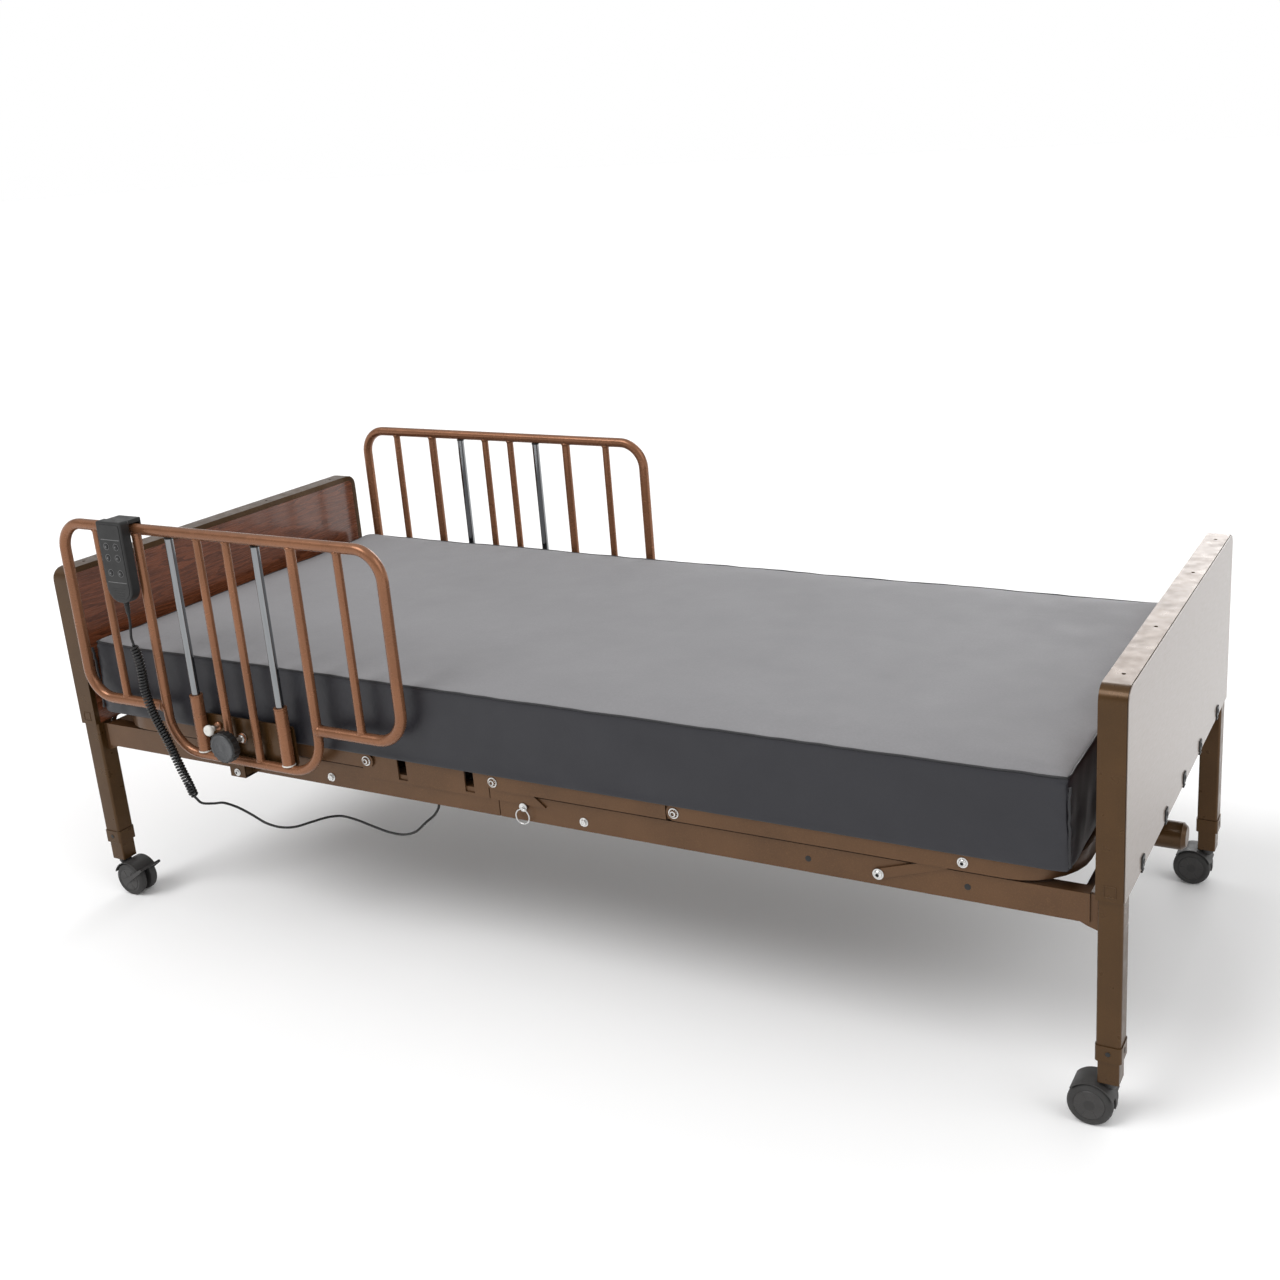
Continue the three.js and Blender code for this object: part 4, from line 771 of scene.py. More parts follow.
def rail_mount(name, side):
    """Clamp plate with two guide sleeves, its lower lip, the screw and the plunger bushes."""
    node = name + "_mount"
    bottom = node_box(node)[0].z
    facing = -side
    y = side * RAIL_Y
    sleeve = 12.7
    inner = side * (RAIL_Y - sleeve - 4)
    outer = side * (RAIL_Y - sleeve)
    y0, y1 = sorted((inner, outer))
    x_low = RAIL_X - POST_OFFSET - 12
    x_high = RAIL_X + POST_OFFSET + 12
    top = 480
    plate = prism(
        node + "_plate",
        round_outline([(x_low, 396, 8), (x_high, 396, 8), (x_high, top, 8), (x_low, top, 8)]),
        "y", y0, y1, BROWN, 0.8,
    )
    pieces = [plate]
    for index, x in enumerate((RAIL_X - POST_OFFSET, RAIL_X + POST_OFFSET)):
        z0, z1 = 405, 522
        pieces.append(lathe(
            f"{node}_sleeve{index}",
            [(8.6, z0), (11.9, z0), (12.7, z0 + 0.8), (12.7, z1 - 0.8), (11.9, z1), (8.6, z1), (8.6, z0)],
            (x, y, 0), (0, 0, 1), COPPER, 36,
        ))
        for z, turn in ((z1, 1), (z0, -1)):
            pieces.append(lathe(
                f"{node}_bush{index}{turn}",
                [
                    (8.3, -2), (12.2, -2), (12.2, 0.2), (13.2, 0.4), (13.4, 1.2), (13.0, 2.6), (8.9, 2.8),
                    (8.3, 2.2), (8.3, -2),
                ],
                (x, y, z), (0, 0, turn), COPPER if turn > 0 else WHITE, 36,
            ))
    hook_x = sorted((RAIL_X + facing * -66, RAIL_X + facing * -26))
    for tag, inside, outside, bottom_z, top_z in (
        ("strap", RAIL_Y - sleeve - 4, RAIL_Y - sleeve, bottom, 398),
        ("jaw", FRAME_OUT + 0.3, RAIL_Y - sleeve - 1, bottom, 392),
        ("lip", FRAME_OUT - 28, RAIL_Y - sleeve - 1, bottom, bottom + 5.7),
    ):
        span = sorted((side * inside, side * outside))
        pieces.append(
            slab(f"{node}_{tag}", (hook_x[0], span[0], bottom_z), (hook_x[1], span[1], top_z), BROWN, 0.8),
        )
    for x, z, radius in ((-16, 438, 11), (-77, 456, 9)):
        pieces.append(lathe(
            f"{node}_boss{x}", [(0, -1), (radius, -1), (radius, 3), (radius - 1, 4), (0, 4)],
            (RAIL_X + facing * x, outer, z), (0, side, 0), COPPER, 30,
        ))
    pieces.append(bolt(node + "_bolt", RAIL_X + facing * -46, 359, RAIL_Y - sleeve, side, 5.5, 3.2))
    worn_by(joined(node + "_finished", pieces), node, "rail_copper")


def knob_place(node):
    """x and z of a knob's middle, how far out its face is, and half its width."""
    low, high = node_box(node)
    return (low.x + high.x) / 2, (low.z + high.z) / 2, max(abs(low.y), abs(high.y)), (high.x - low.x) / 2


def clamp_knob(name, side):
    node = name + "_clamp_knob"
    x, z, face, wide = knob_place(node)
    lobes = 18
    outline = []
    for k in range(lobes * 6):
        angle = 2 * math.pi * k / (lobes * 6)
        radius = wide - 1.2 + 0.9 * math.cos(lobes * angle)
        outline.append((x + radius * math.cos(angle), z + radius * math.sin(angle)))
    y0, y1 = sorted((side * (face - 19), side * (face - 2)))
    grip = prism(node + "_grip", outline, "y", y0, y1, BLACK, 1.6, 3)
    cap = lathe(
        node + "_cap",
        [
            (0, -4), (wide - 5, -4), (wide - 4.6, -1.2), (wide - 6, 0), (wide - 9, 0), (wide - 11, -1.4),
            (9, -1.9), (7, -1.2), (0, -0.9),
        ],
        (x, side * face, z), (0, side, 0), KNOB_FACE, 56,
    )
    skirt = lathe(
        node + "_skirt",
        [(0, 0), (wide - 5, 0), (wide - 5, -2), (wide - 12, -4), (12, -5), (12, -11), (0, -11)],
        (x, side * (face - 18.5), z), (0, side, 0), BLACK, 40,
    )
    stem = rod(node + "_stem", (x, side * (face - 26), z), (x, side * 450, z), 5.9, ZINC)
    nut = bolt(node + "_nut", x, z, 452.5, side, 9, 4, ZINC, True)
    worn_by(joined(node + "_finished", [grip, cap, skirt, stem, nut]), node, "black_plastic")


def release_knob(name, side):
    node = name + "_release_knob"
    x, z, face, _ = knob_place(node)
    profile = [
        (0, -0.8), (3, -0.8), (3.4, 0), (7.5, 0), (
            10.2, -0.9,
        ), (11.3, -3), (11.5, -5.5), (10.8, -8.4), (7.6, -10.4), (6.2, -12.5), (6.2, -16), (0, -16),
    ]
    knob = lathe(node + "_knob", profile, (x, side * face, z), (0, side, 0), WHITE, 36, 50)
    stem = rod(node + "_stem", (x, side * (face - 15), z), (x, side * 450, z), 3.9, ZINC)
    worn_by(joined(node + "_finished", [knob, stem]), node, "white_plastic")


for rail_name, rail_side in SIDES:
    side_rail(rail_name + "_rail", rail_side)
    rail_mount(rail_name + "_rail", rail_side)
    clamp_knob(rail_name, rail_side)
    release_knob(rail_name, rail_side)


# ---------------------------------------------------------------- casters
AXLE_Z = 37.4


def caster_wheel(name, centre, low, high, facing):
    """One wheel of a pair, between two distances along y; facing is the side with the hub cap."""
    radius = 37.4
    wide = high - low
    profile = [
        (0, 0), (9, 0), (10, 1.2), (26, 1.2), (28, 0), (31, -0.2), (34.6, 1.2), (36.8, 3.6), (radius, 6.2),
        (radius, wide - 5), (36.4, wide - 2), (33.5, wide), (0, wide),
    ]
    start = (centre.x, high if facing > 0 else low, centre.z)
    wheel = lathe(name, profile, start, (0, -facing, 0), TREAD, 56, 40)
    cap = lathe(
        name + "_cap",
        [(0, 0.9), (6, 0.7), (8.5, 0), (24.5, 0.3), (25.6, 1.4), (25.6, 3), (0, 3)],
        start, (0, -facing, 0), CASTER, 48, 40,
    )
    spokes = [
        rod(
            f"{name}_rib{k}",
            Vector(start) + Vector((11 * math.cos(a), -facing * 0.5, 11 * math.sin(a))),
            Vector(start) + Vector((23 * math.cos(a), -facing * 0.5, 23 * math.sin(a))),
            0.9, CASTER, 8, 0.3,
        )
        for k, a in enumerate(2 * math.pi * n / 6 for n in range(6))
    ]
    return joined(name, [wheel, cap, *spokes])


def arc_points(centre, radius, start, stop, steps, mirror):
    for k in range(steps + 1):
        angle = math.radians(start + (stop - start) * k / steps)
        yield (centre.x + mirror * radius * math.cos(angle), centre.z + radius * math.sin(angle))


def caster(end_name, end, side_name, side):
    place = f"{end_name}_{side_name}"
    low, high = node_box(place + "_caster_wheels")
    wheel_centre = Vector(((low.x + high.x) / 2, (low.y + high.y) / 2, AXLE_Z))
    y = side * LEG_Y
    wheels = [
        caster_wheel(f"{place}_wheel_{tag}", wheel_centre, *sorted((y + sign * 5.9, y + sign * 23.9)), sign)
        for tag, sign in (("a", -1), ("b", 1))
    ]
    axle = rod(place + "_axle", (wheel_centre.x, y - 23, AXLE_Z), (wheel_centre.x, y + 23, AXLE_Z), 4.9, ZINC)
    worn_by(joined(place + "_wheels", [*wheels, axle]), place + "_caster_wheels", "caster_plastic")

    hood = prism(
        place + "_hood",
        [
            *arc_points(wheel_centre, 40.6, 20, 142, 18, end),
            *arc_points(wheel_centre, 38.8, 142, 20, 18, end),
        ],
        "y", y - 24.5, y + 24.5, CASTER, 0.7,
    )
    web_shape = [
        *arc_points(wheel_centre, 39.5, -14, 148, 20, end), *arc_points(wheel_centre, 22, 148, 346, 20, end),
    ]
    web = prism(place + "_web", web_shape, "y", y - 5.4, y + 5.4, CASTER, 0.8)
    neck = lathe(
        place + "_neck",
        [
            (0, 64), (10, 66), (12.5, 71), (13, 75), (12.6, 78.6), (11, 79.2), (5.6, 79.4), (5.6, 98),
            (4.6, 99.6), (0, 99.6),
        ],
        (end * LEG_X, y, 0), (0, 0, 1), CASTER, 32,
    )
    worn_by(joined(place + "_fork", [hood, web, neck]), place + "_caster_fork", "caster_plastic")

    if end < 0:
        finished(place + "_brake_pedal", CASTER, "caster_plastic", 0.5)


for end_name, end in ENDS:
    for side_name, side in SIDES:
        caster(end_name, end, side_name, side)


# ---------------------------------------------------------------- bed ends
END_X = 1117.5
END_HALF = 445


def end_panel(name, end):
    """Outer skin, inner skin and core of a bed end, with the clips that hold it."""
    node = name + "_end_panel"
    outer_face = BEIGE if end > 0 else WOOD
    x_out = sorted((end * END_X, end * (END_X - 1.6)))
    x_in = sorted((end * 1072.8, end * 1074.9))

    def skin(half, top, corner, material, span, tag):
        rows = [(-half, 405.5), (half, 405.5), (half, top, corner), (-half, top, corner)]
        return prism(f"{node}_{tag}", round_outline(rows, 8), "x", *span, material, 0.5)

    pieces = [
        skin(443.5, 748.5, 23.5, outer_face, x_out, "outer"),
        skin(432.5, 737.5, 12, WOOD, x_in, "inner"),
        slab(
            node + "_core", (min(end * 1074.5, end * 1116), -378, 470),
            (max(end * 1074.5, end * 1116), 378, 645), WOOD, 0.5,
        ),
    ]
    worn_by(joined(node + "_finished", pieces), node, "foot_laminate" if end > 0 else "wood_laminate")

    clips = []
    for index, y in enumerate((-326, -148, 5, 155, 330)):
        x0, x1 = sorted((end * (END_X - 2), end * (END_X + 2.6)))
        clips.append(slab(f"{name}_clip{index}", (x0, y - 9, 409), (x1, y + 9, 430), BLACK, 1.2, 3))
        clips.append(lathe(
            f"{name}_clip_screw{index}", [(0, -1), (4.6, -1), (4.6, 0.4), (3.6, 1.4), (0, 1.7)],
            (end * (END_X + 2.4), y, 420), (end, 0, 0), BLACK, 20,
        ))
        x2, x3 = sorted((end * (END_X + 2), end * (END_X - 9)))
        clips.append(slab(f"{name}_clip_foot{index}", (x2, y - 7, 402.5), (x3, y + 7, 406), BLACK, 0.8))
    on_body(joined(name + "_end_clips", clips), "frame")


def end_frame(name, end):
    more = []
    for side_name, side in SIDES:
        x = end * LEG_X
        y = side * (LEG_Y + LEG_HALF)
        # spring button that locks the inner leg
        for tag, face, axis in (
            ("side", (x, y + side * 1.6, 137), (0, side, 0)), (
                "end", (x + end * 21.6, side * LEG_Y, 137), (end, 0, 0),
            ),
        ):
            label = f"{name}_{side_name}_{tag}"
            profile = [(0, -2), (4.0, -2), (4.0, 0.3), (3.2, 0.7), (0, 0.8)]
            more.append(lathe(label + "_button", profile, face, axis, BLACK, 24))
            more.append(ring(label + "_button_rim", face, axis, 5.0, 0.5, BROWN, 28, 8))
        # raised square where the two halves of the channel are pressed together
        web = side * (END_HALF + 0.1)
        for a, b in (((-9, 0), (9, 0)), ((9, 0), (9, 18)), ((9, 18), (-9, 18)), ((-9, 18), (-9, 0))):
            more.append(rod(
                f"{name}_{side_name}_square{a}", (
                    x + a[0], web, 413 + a[1],
                ), (x + b[0], web, 413 + b[1]), 0.9, BROWN, 8, 0.3,
            ))
    finished(name + "_end_frame", BROWN, "frame_brown", 0.8, more)
    for side_name, side in SIDES:
        finished(f"{name}_{side_name}_inner_leg", BROWN, "frame_brown", 0.6)


for end_name, end in ENDS:
    end_frame(end_name, end)
    end_panel(end_name, end)


# ---------------------------------------------------------------- frame and deck
def frame_bolts():
    """Bright bolts on the frame's sides and at the deck's hinges, and flat black discs on the frame's sides
    painted as the shade of holes.
    """
    heads = {"frame": [], "thigh_section": [], "calf_section": [], "calf_link": []}
    for side_name, side in SIDES:
        for index, (x, z) in enumerate(((-443, 372), (144, 372))):
            heads["frame"].append(
                bolt(f"{side_name}_frame_bolt{index}", x, z, FRAME_OUT, side, 6.5, 4, ZINC, True),
            )
        # flat black discs: painted shade standing in for holes in the frame's sides
        for index, x in enumerate((587, 865)):
            heads["frame"].append(lathe(
                f"{side_name}_frame_hole{index}", [(5.4, -0.4), (5.4, 0.3), (5.0, 0.5), (0, 0.5)],
                (x, side * FRAME_OUT, FRAME_MID_Z), (0, side, 0), BLACK, 28,
            ))
        heads["calf_link"].append(bolt(f"{side_name}_link_bolt", 714, 376, FRAME_OUT + 4.3, side, 7.5, 4.4))
        pin = DECK_OUT + 0.4
        heads["frame"].append(bolt(f"{side_name}_back_pin", BACK_HINGE_X, HINGE_Z, pin, side, 7.6, 4.2))
        heads["frame"].append(bolt(f"{side_name}_thigh_pin", THIGH_HINGE_X, HINGE_Z, pin, side, 7.6, 4.2))
        heads["thigh_section"].append(bolt(f"{side_name}_knee_pin", KNEE_X, HINGE_Z, pin, side, 7.6, 4.2))
        heads["calf_section"].append(bolt(f"{side_name}_link_pin", 860, HINGE_Z, DECK_OUT, side, 6.8, 4))
    for body, pieces in heads.items():
        on_body(joined(body + "_bolts", pieces), body)


def lock_pin(name, side):
    node = name + "_lock_pin"
    low, high = node_box(node)
    x = (low.x + high.x) / 2
    z = 383
    face = 431.5
    pin = lathe(
        node + "_pin",
        [
            (0, -14.4), (3.6, -14.2), (4.5, -13), (4.5, 0.6), (8, 0.6), (8.4, 1), (8.4, 2.6), (7.4, 3.2),
            (3, 3.4), (3, 7.4), (2, 8), (0, 8),
        ],
        (x, side * face, z), (0, side, 0), ZINC, 28,
    )
    split_ring = ring(node + "_ring", (x, side * (face + 6), z - 16.5), (0, 1, 0), 14.5, 1.3, ZINC, 40, 10)
    worn_by(joined(node + "_finished", [pin, split_ring]), node, "zinc")


for node in ("head_half_frame", "foot_half_frame", "back_deck", "thigh_deck", "calf_deck", "calf_link"):
    finished(node, DECK, "deck_brown")
for node in ("control_box", "back_actuator", "knee_actuator"):
    finished(node, HOUSING, "drive_housing", 1.2)
finished("hi_lo_motor", BROWN, "frame_brown", 1.2)
for node in ("back_actuator_rod", "knee_actuator_rod", "hi_lo_drive_shaft"):
    finished(node, ZINC, "zinc", 0.6)
frame_bolts()
for side_name, side in SIDES:
    lock_pin(side_name, side)


# ---------------------------------------------------------------- handset
def make_handset():
    low, high = node_box("handset")
    x = (low.x + high.x) / 2
    front = low.y
    back = front + 24
    half = 34
    top, bottom = high.z, 718

    def outline(amount):
        """Straight sides with a long rounded lower end."""
        wide = half - amount
        round_end = half - 3 - amount
        rows = [
            (x - wide, top - amount, 5), (x + wide, top - amount, 5),
            (x + wide, bottom + amount, round_end), (x - wide, bottom + amount, round_end),
        ]
        return round_outline(rows, 10)

    body = prism("handset_body", outline(0), "y", front + 1.4, back, BLACK, 3.2, 3)

    def inset(amount, raised):
        return prism(f"handset_face{amount}", outline(amount), "y", front + raised, front + 5, BLACK, 0.7)

    pieces = [body, inset(5.5, 0.5)]
    for z in (848, 761):
        pieces.append(
            rod(
                f"handset_ridge{z}", (x - 25, front + 0.6, z), (x + 25, front + 0.6, z), 0.7, MARKING, 10,
                0.5,
            ),
        )
    for z in range(728, 752, 5):
        wide = 10 + (z - 728) * 0.35
        pieces.append(
            rod(
                f"handset_grip{z}", (x - wide, front + 0.7, z), (x + wide, front + 0.7, z), 0.7, BLACK, 8,
                0.4,
            ),
        )
    hook_x = (x - half + 5, x + half - 5)
    pieces.append(
        slab(
            "handset_hook_top", (hook_x[0], back - 3, RAIL_TOP + RAIL_TUBE + 1), (hook_x[1], -449, top - 1.5),
            BLACK, 1.4, 3,
        ),
    )
    pieces.append(
        slab("handset_hook_back", (hook_x[0], -453, RAIL_TOP - 6), (hook_x[1], -449, top - 2), BLACK, 1.3, 3),
    )
    for k in range(5):
        z = bottom - 22 + 5 * k
        radius = 3.9 + 0.42 * k
        pieces.append(
            ring(f"handset_relief_rib{k}", (x, front + 12, z), (0, 0, 1), radius, 0.8, BLACK, 20, 8),
        )
    pieces.append(lathe(
        "handset_relief", [(0, -26), (3.4, -26), (3.7, -25), (5.4, 0), (7.2, 3), (0, 4)],
        (x, front + 12, bottom), (0, 0, 1), BLACK, 24,
    ))
    for z in (834, 811, 780):
        for sign in (-1, 1):
            pieces.append(
                ring(
                    f"handset_bezel{z}{sign}", (x + sign * 13, front + 0.5, z), (0, 1, 0), 6.9, 0.5, MARKING,
                    28, 8,
                ),
            )
    worn_by(joined("handset_finished", pieces), "handset", "black_plastic")

    for kind in ("back", "knee", "bed"):
        for direction, point in (("up", 1), ("down", -1)):
            node = f"button_{kind}_{direction}"
            b_low, b_high = node_box(node)
            bx, bz = (b_low.x + b_high.x) / 2, (b_low.z + b_high.z) / 2
            y = b_low.y
            dome = lathe(
                node + "_dome", [(0, 3.8), (5.5, 3.8), (5.5, 1.1), (5.1, 0.5), (4.2, 0.15), (0, 0)],
                (bx, y, bz), (0, 1, 0), BUTTON, 32,
            )
            arrow = prism(
                node + "_arrow",
                [(bx - 2.2, bz - point * 1.4), (bx + 2.2, bz - point * 1.4), (bx, bz + point * 2.2)],
                "y", y - 0.2, y + 0.8, MARKING, 0.1,
            )
            worn_by(joined(node + "_finished", [dome, arrow]), node, "black_plastic")


make_handset()


# ---------------------------------------------------------------- mattress
MATTRESS_LOW = node_box("mattress_back")[0]
MATTRESS_HIGH = node_box("mattress_calf")[1]
SPLIT_SEAT = -190.0
SPLIT_THIGH = 150.0


def make_mattress():
    step = 14.0
    low, high = MATTRESS_LOW.copy(), MATTRESS_HIGH.copy()
    nx = round((high.x - low.x) / step)
    ny = round((high.y - low.y) / step)
    nz = round((high.z - low.z) / step)
    index, vertices = {}, []

    def corner(i, j, k):
        key = (i, j, k)
        if key not in index:
            index[key] = len(vertices)
            vertices.append(Vector((
                low.x + (high.x - low.x) * i / nx,
                low.y + (high.y - low.y) * j / ny,
                low.z + (high.z - low.z) * k / nz,
            )))
        return index[key]

    faces, kinds = [], []
    for i in range(nx):
        for j in range(ny):
            faces.append(
                (corner(i, j, nz), corner(i + 1, j, nz), corner(i + 1, j + 1, nz), corner(i, j + 1, nz)),
            )
            kinds.append(0)
            faces.append((corner(i, j, 0), corner(i, j + 1, 0), corner(i + 1, j + 1, 0), corner(i + 1, j, 0)))
            kinds.append(1)
    for k in range(nz):
        for i in range(nx):
            faces.append((corner(i, 0, k), corner(i + 1, 0, k), corner(i + 1, 0, k + 1), corner(i, 0, k + 1)))
            faces.append(
                (corner(i, ny, k), corner(i, ny, k + 1), corner(i + 1, ny, k + 1), corner(i + 1, ny, k)),
            )
            kinds += [1, 1]
        for j in range(ny):
            faces.append((corner(0, j, k), corner(0, j, k + 1), corner(0, j + 1, k + 1), corner(0, j + 1, k)))
            faces.append(
                (corner(nx, j, k), corner(nx, j + 1, k), corner(nx, j + 1, k + 1), corner(nx, j, k + 1)),
            )
            kinds += [1, 1]

    # the corners and rims of a sewn cover pull in a little
    middle = (low + high) / 2
    half = (high - low) / 2
    shaped = []
    for v in vertices:
        p = v - middle
        near_x = max(0.0, 1 - (half.x - abs(p.x)) / 22)
        near_y = max(0.0, 1 - (half.y - abs(p.y)) / 22)
        near_top = max(0.0, 1 - (half.z - p.z) / 16)
        near_low = max(0.0, 1 - (half.z + p.z) / 16)
        rim = max(near_top, near_low)
        v = v.copy()
        v.x -= math.copysign(1, p.x) * (2 * near_x * rim ** 2 + 4 * near_x * near_y)
        v.y -= math.copysign(1, p.y) * (2 * near_y * rim ** 2 + 4 * near_x * near_y)
        edge = max(near_x, near_y)
        v.z -= 2.5 * near_top * edge ** 2
        if abs(p.y) > half.y - 6:
            v.z -= 3.5 * near_low
        shaped.append(v)
    cover = mesh_object("mattress_cover", shaped, faces, TOP_COVER)
    cover.data.materials.append(SIDE_COVER)
    cover.data.polygons.foreach_set("material_index", kinds)
    rest = [v.copy() for v in shaped]

    settle_cover(cover, rest, low)
    soften_cover(cover, low, high)
    return cover, low, high


def settle_cover(cover, rest, low):
    """Cloth simulation: the cover, cut slightly large, swells over the foam and buckles a little."""
    held = cover.vertex_groups.new(name="held")
    for i, v in enumerate(rest):
        held.add([i], 1.0 if v.z < low.z + 6 else 0.0, "REPLACE")
    cloth = cover.modifiers.new("cloth", "CLOTH")
    for key, value in dict(
        quality=5, mass=0.3, tension_stiffness=25, compression_stiffness=25, shear_stiffness=8,
        bending_stiffness=0.4, shrink_min=-0.012, shrink_max=-0.012, use_pressure=True,
        uniform_pressure_force=2.5, vertex_group_mass="held", pin_stiffness=1.0,
    ).items():
        setattr(cloth.settings, key, value)
    cloth.settings.effector_weights.gravity = 0.0
    cloth.collision_settings.use_collision = False
    scene = bpy.context.scene
    for number in range(1, 19):
        scene.frame_set(number)
    graph = bpy.context.evaluated_depsgraph_get()
    moved = np.empty(len(rest) * 3)
    evaluated = cover.evaluated_get(graph)
    evaluated.data.vertices.foreach_get("co", moved)
    moved = moved.reshape(-1, 3) / MM
    start = np.array([tuple(v) for v in rest])
    offset = moved - start
    length = np.linalg.norm(offset, axis=1, keepdims=True)
    cap = 7.0
    offset *= np.tanh(length / cap) * cap / np.maximum(length, 1e-9)
    offset -= offset.mean(0) * [1, 1, 0]
    cover.modifiers.clear()
    cover.data.vertices.foreach_set("co", ((start + offset) * MM).astype(np.float32).ravel())
    scene.frame_set(1)


def soften_cover(cover, low, high):
    """Rounded rims, one subdivision, then foam sag and the creases a sewn cover takes."""
    rim = cover.modifiers.new("rim", "BEVEL")
    rim.width = 5 * MM
    rim.segments = 2
    rim.limit_method = "ANGLE"
    rim.angle_limit = math.radians(50)
    apply_modifiers(cover)
    fine = cover.modifiers.new("fine", "SUBSURF")
    fine.levels = 1
    fine.render_levels = 1
    apply_modifiers(cover)
    for vertex in cover.data.vertices:
        p = vertex.co / MM
        from_end = min(p.x - low.x, high.x - p.x)
        from_side = min(p.y - low.y, high.y - p.y)
        out_x = 1 if p.x > 0 else -1
        out_y = 1 if p.y > 0 else -1
        height = p.z - low.z
        top = max(0.0, min(1.0, (height - 90) / 50))
        slow = noise.noise(Vector((p.x / 240, p.y / 240, 3.1)))
        ripple = noise.noise(Vector((p.x / 70, p.y / 55, 8.3)))
        vertex.co.z += MM * top * (1.8 * slow + 0.5 * ripple)
        near_edge = max(0.0, 1 - min(from_end, from_side) / 45)
        vertex.co.z += MM * top * near_edge * 1.2 * noise.noise(Vector((p.x / 38, p.y / 38, 2.2)))
        if min(from_side, from_end) > 16 or height < 4:
            continue
        on_side = from_side < from_end
        across = p.x if on_side else p.y
        crease = noise.noise(Vector((across / 150 + height / 110, height / 190, 7.7)))
        fold = noise.noise(Vector((across / 34 - height / 80, height / 70, 1.3)))
        push = 2.0 * crease + 0.6 * fold
        corner = max(0.0, 1 - max(from_end, from_side) / 42)
        rumple = abs(noise.noise(Vector((height / 15, across / 28, 5.5)))) + 0.5 * noise.noise(
            Vector((height / 6.5, across / 15, 4.1))
        )
        push += corner * (4.2 * rumple - 1.6)
        if on_side:
            vertex.co.y += MM * push * out_y
        else:
            vertex.co.x += MM * push * out_x
    smooth(cover, 75)


def cut_at(obj, name, x_low, x_high):
    """A copy of obj between two places along x."""
    mesh = obj.data.copy()
    with edited(mesh) as shape:
        for x, direction in ((x_low, -1), (x_high, 1)):
            if x is None:
                continue
            everything = [*shape.verts, *shape.edges, *shape.faces]
            bmesh.ops.bisect_plane(
                shape, geom=everything, dist=1e-7, plane_co=(x * MM, 0, 0), plane_no=(direction, 0, 0),
                clear_outer=True,
            )
    return linked(name, mesh)


cover, cover_low, cover_high = make_mattress()


def place_mattress(source, label, pad):
    """Cuts a piece of the mattress into three lengths, split at the seat and at the thigh."""
    head = cut_at(source, f"{label}_head", None, SPLIT_SEAT)
    middle = cut_at(source, f"{label}_seat", SPLIT_SEAT, SPLIT_THIGH)
    foot = cut_at(source, f"{label}_foot", SPLIT_THIGH, None)
    bpy.data.objects.remove(source)
    for piece in (head, middle, foot):
        smooth(piece, 75)
    bends = (
        (head, "back_section", "frame", BACK_HINGE_X - 150, BACK_HINGE_X + 120),
        (middle, "frame", "thigh_section", THIGH_HINGE_X - 120, THIGH_HINGE_X + 130),
        (foot, "thigh_section", "calf_section", KNEE_X - 140, KNEE_X + 140),
    )
    for piece, body_a, body_b, start, end in bends:
        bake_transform(piece)
    if pad:
        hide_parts("mattress_back")
        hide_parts("mattress_seat")
        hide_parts("mattress_thigh", "mattress_calf")


def seam_lines(obj, low):
    """Closed lines along the top edge, where the two cover materials meet."""
    following = {}
    vertices = obj.data.vertices
    sides = {}
    for face in obj.data.polygons:
        for key in face.edge_keys:
            sides.setdefault(key, set()).add(face.material_index)
    for (a, b), kinds in sides.items():
        if len(kinds) == 2 and vertices[a].co.z > (low.z + 60) * MM:
            following.setdefault(a, []).append(b)
            following.setdefault(b, []).append(a)
    start = min(following)
    order, last = [start], None
    while True:
        options = [n for n in following[order[-1]] if n != last]
        last = order[-1]
        if not options or options[0] == start:
            break
        order.append(options[0])
    return [vertices[i].co / MM for i in order]


def make_piping(obj, low, high):
    line = seam_lines(obj, low)
    line.append(line[0].copy())
    middle = (low + high) / 2
    for i, point in enumerate(line):
        point.x += 0.9 * (1 if point.x > middle.x else -1) * (high.x - low.x < 2.2 * abs(point.x - middle.x))
        point.y += 0.9 * (1 if point.y > middle.y else -1) * (high.y - low.y < 2.2 * abs(point.y - middle.y))
        point.z += 0.9 + 0.7 * noise.noise(Vector((i / 9, 0.3, 1.7)))
    return sweep("mattress_piping", line, 1.9, PIPING, 8, False)


def corner_seams(low, high):
    """The rumpled upright seams at the four corners."""
    seams = []
    for out_x, x in ((-1, low.x), (1, high.x)):
        for out_y, y in ((-1, low.y), (1, high.y)):
            line = []
            for k in range(41):
                height = 8 + (high.z - low.z - 22) * k / 40
                wobble = noise.noise_vector(Vector((k / 3.1, out_x * 4.4, out_y * 2.2)))
                inset = 4.5 - abs(2 * k / 40 - 1) ** 3
                line.append(
                    Vector(
                        (
                            x - out_x * inset + 1.4 * wobble.x, y - out_y * inset + 1.4 * wobble.y,
                            low.z + height,
                        ),
                    ),
                )
            widths = [2.6 + 1.1 * noise.noise(Vector((k / 1.7, out_x, out_y))) for k in range(41)]
            seams.append(sweep(f"corner_seam{out_x}{out_y}", line, widths, PIPING, 10))
    return joined("mattress_corner_seams", seams)


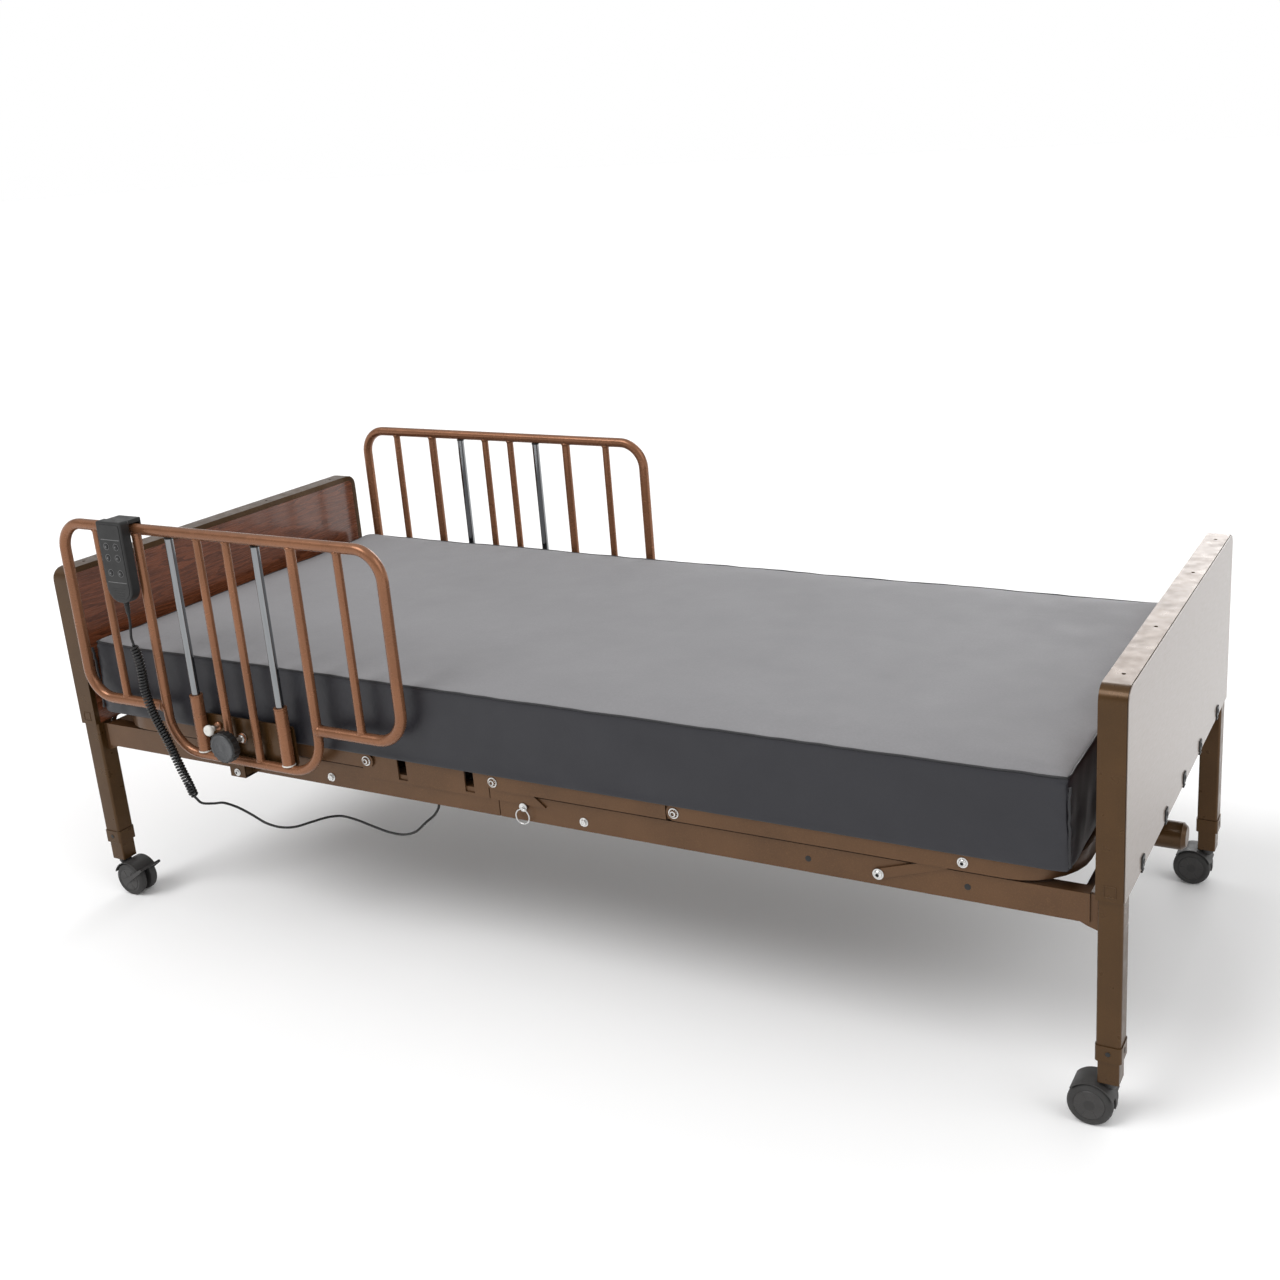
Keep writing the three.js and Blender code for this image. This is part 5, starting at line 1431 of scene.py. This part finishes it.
piping = make_piping(cover, cover_low, cover_high)
place_mattress(piping, "mattress_piping", False)
corners = corner_seams(cover_low, cover_high)
for label, body, x_low, x_high in (("head", "back_section", None, 0), ("foot", "calf_section", 0, None)):
    on_body(
        smooth(cut_at(corners, "mattress_corner_seams_" + label, x_low, x_high), 60), body,
    )
bpy.data.objects.remove(corners)
place_mattress(cover, "mattress_cover", True)


# ---------------------------------------------------------------- studio
def make_studio():
    scene = bpy.context.scene
    scene.view_settings.view_transform = "Standard"
    world = bpy.data.worlds.new("studio")
    scene.world = world
    world.use_nodes = True
    tree = world.node_tree
    background = tree.nodes["Background"]
    background.inputs["Strength"].default_value = 1.0
    place = tree.nodes.new("ShaderNodeTexCoord")
    split = tree.nodes.new("ShaderNodeSeparateXYZ")
    ramp = tree.nodes.new("ShaderNodeValToRGB")
    tree.links.new(place.outputs["Generated"], split.inputs["Vector"])
    tree.links.new(split.outputs["Z"], ramp.inputs["Fac"])
    tree.links.new(ramp.outputs["Color"], background.inputs["Color"])
    stops = ((0.0, 1.0), (0.16, 1.0), (0.26, 0.5), (0.45, 0.34), (0.62, 0.8), (1.0, 0.9))
    elements = ramp.color_ramp.elements
    elements.remove(elements[1])
    elements[0].position, elements[0].color = stops[0][0], (*[stops[0][1]] * 3, 1)
    for position, level in stops[1:]:
        elements.new(position).color = (level, level, level, 1)

    floor = mesh_object(
        "floor",
        [(-60000, -60000, 0), (60000, -60000, 0), (60000, 60000, 0), (-60000, 60000, 0)],
        [(0, 1, 2, 3)],
        pale_floor(),
    )

    for name, place, power, spread in (
        ("key", (-1.6, -2.2, 3.6), 1.3, 30), ("fill", (3.4, -0.6, 2.6), 0.7, 45), (
            "back", (-0.35, 2.46, 0.8), 0.6, 24,
        ),
    ):
        data = bpy.data.lights.new(name, "SUN")
        data.energy = power
        data.angle = math.radians(spread)
        linked(name, data).rotation_euler = Vector(place).to_track_quat("Z", "Y").to_euler()


def pale_floor():
    m = Nodes("pale_floor", 0.9)
    m.shader.inputs["Specular IOR Level"].default_value = 0.1
    m.color(m.mix(m.remap(m.noise(1.2, 3), 0.3, 0.7), (0.93, 0.93, 0.93), (0.95, 0.95, 0.95)))
    return m.material


make_studio()
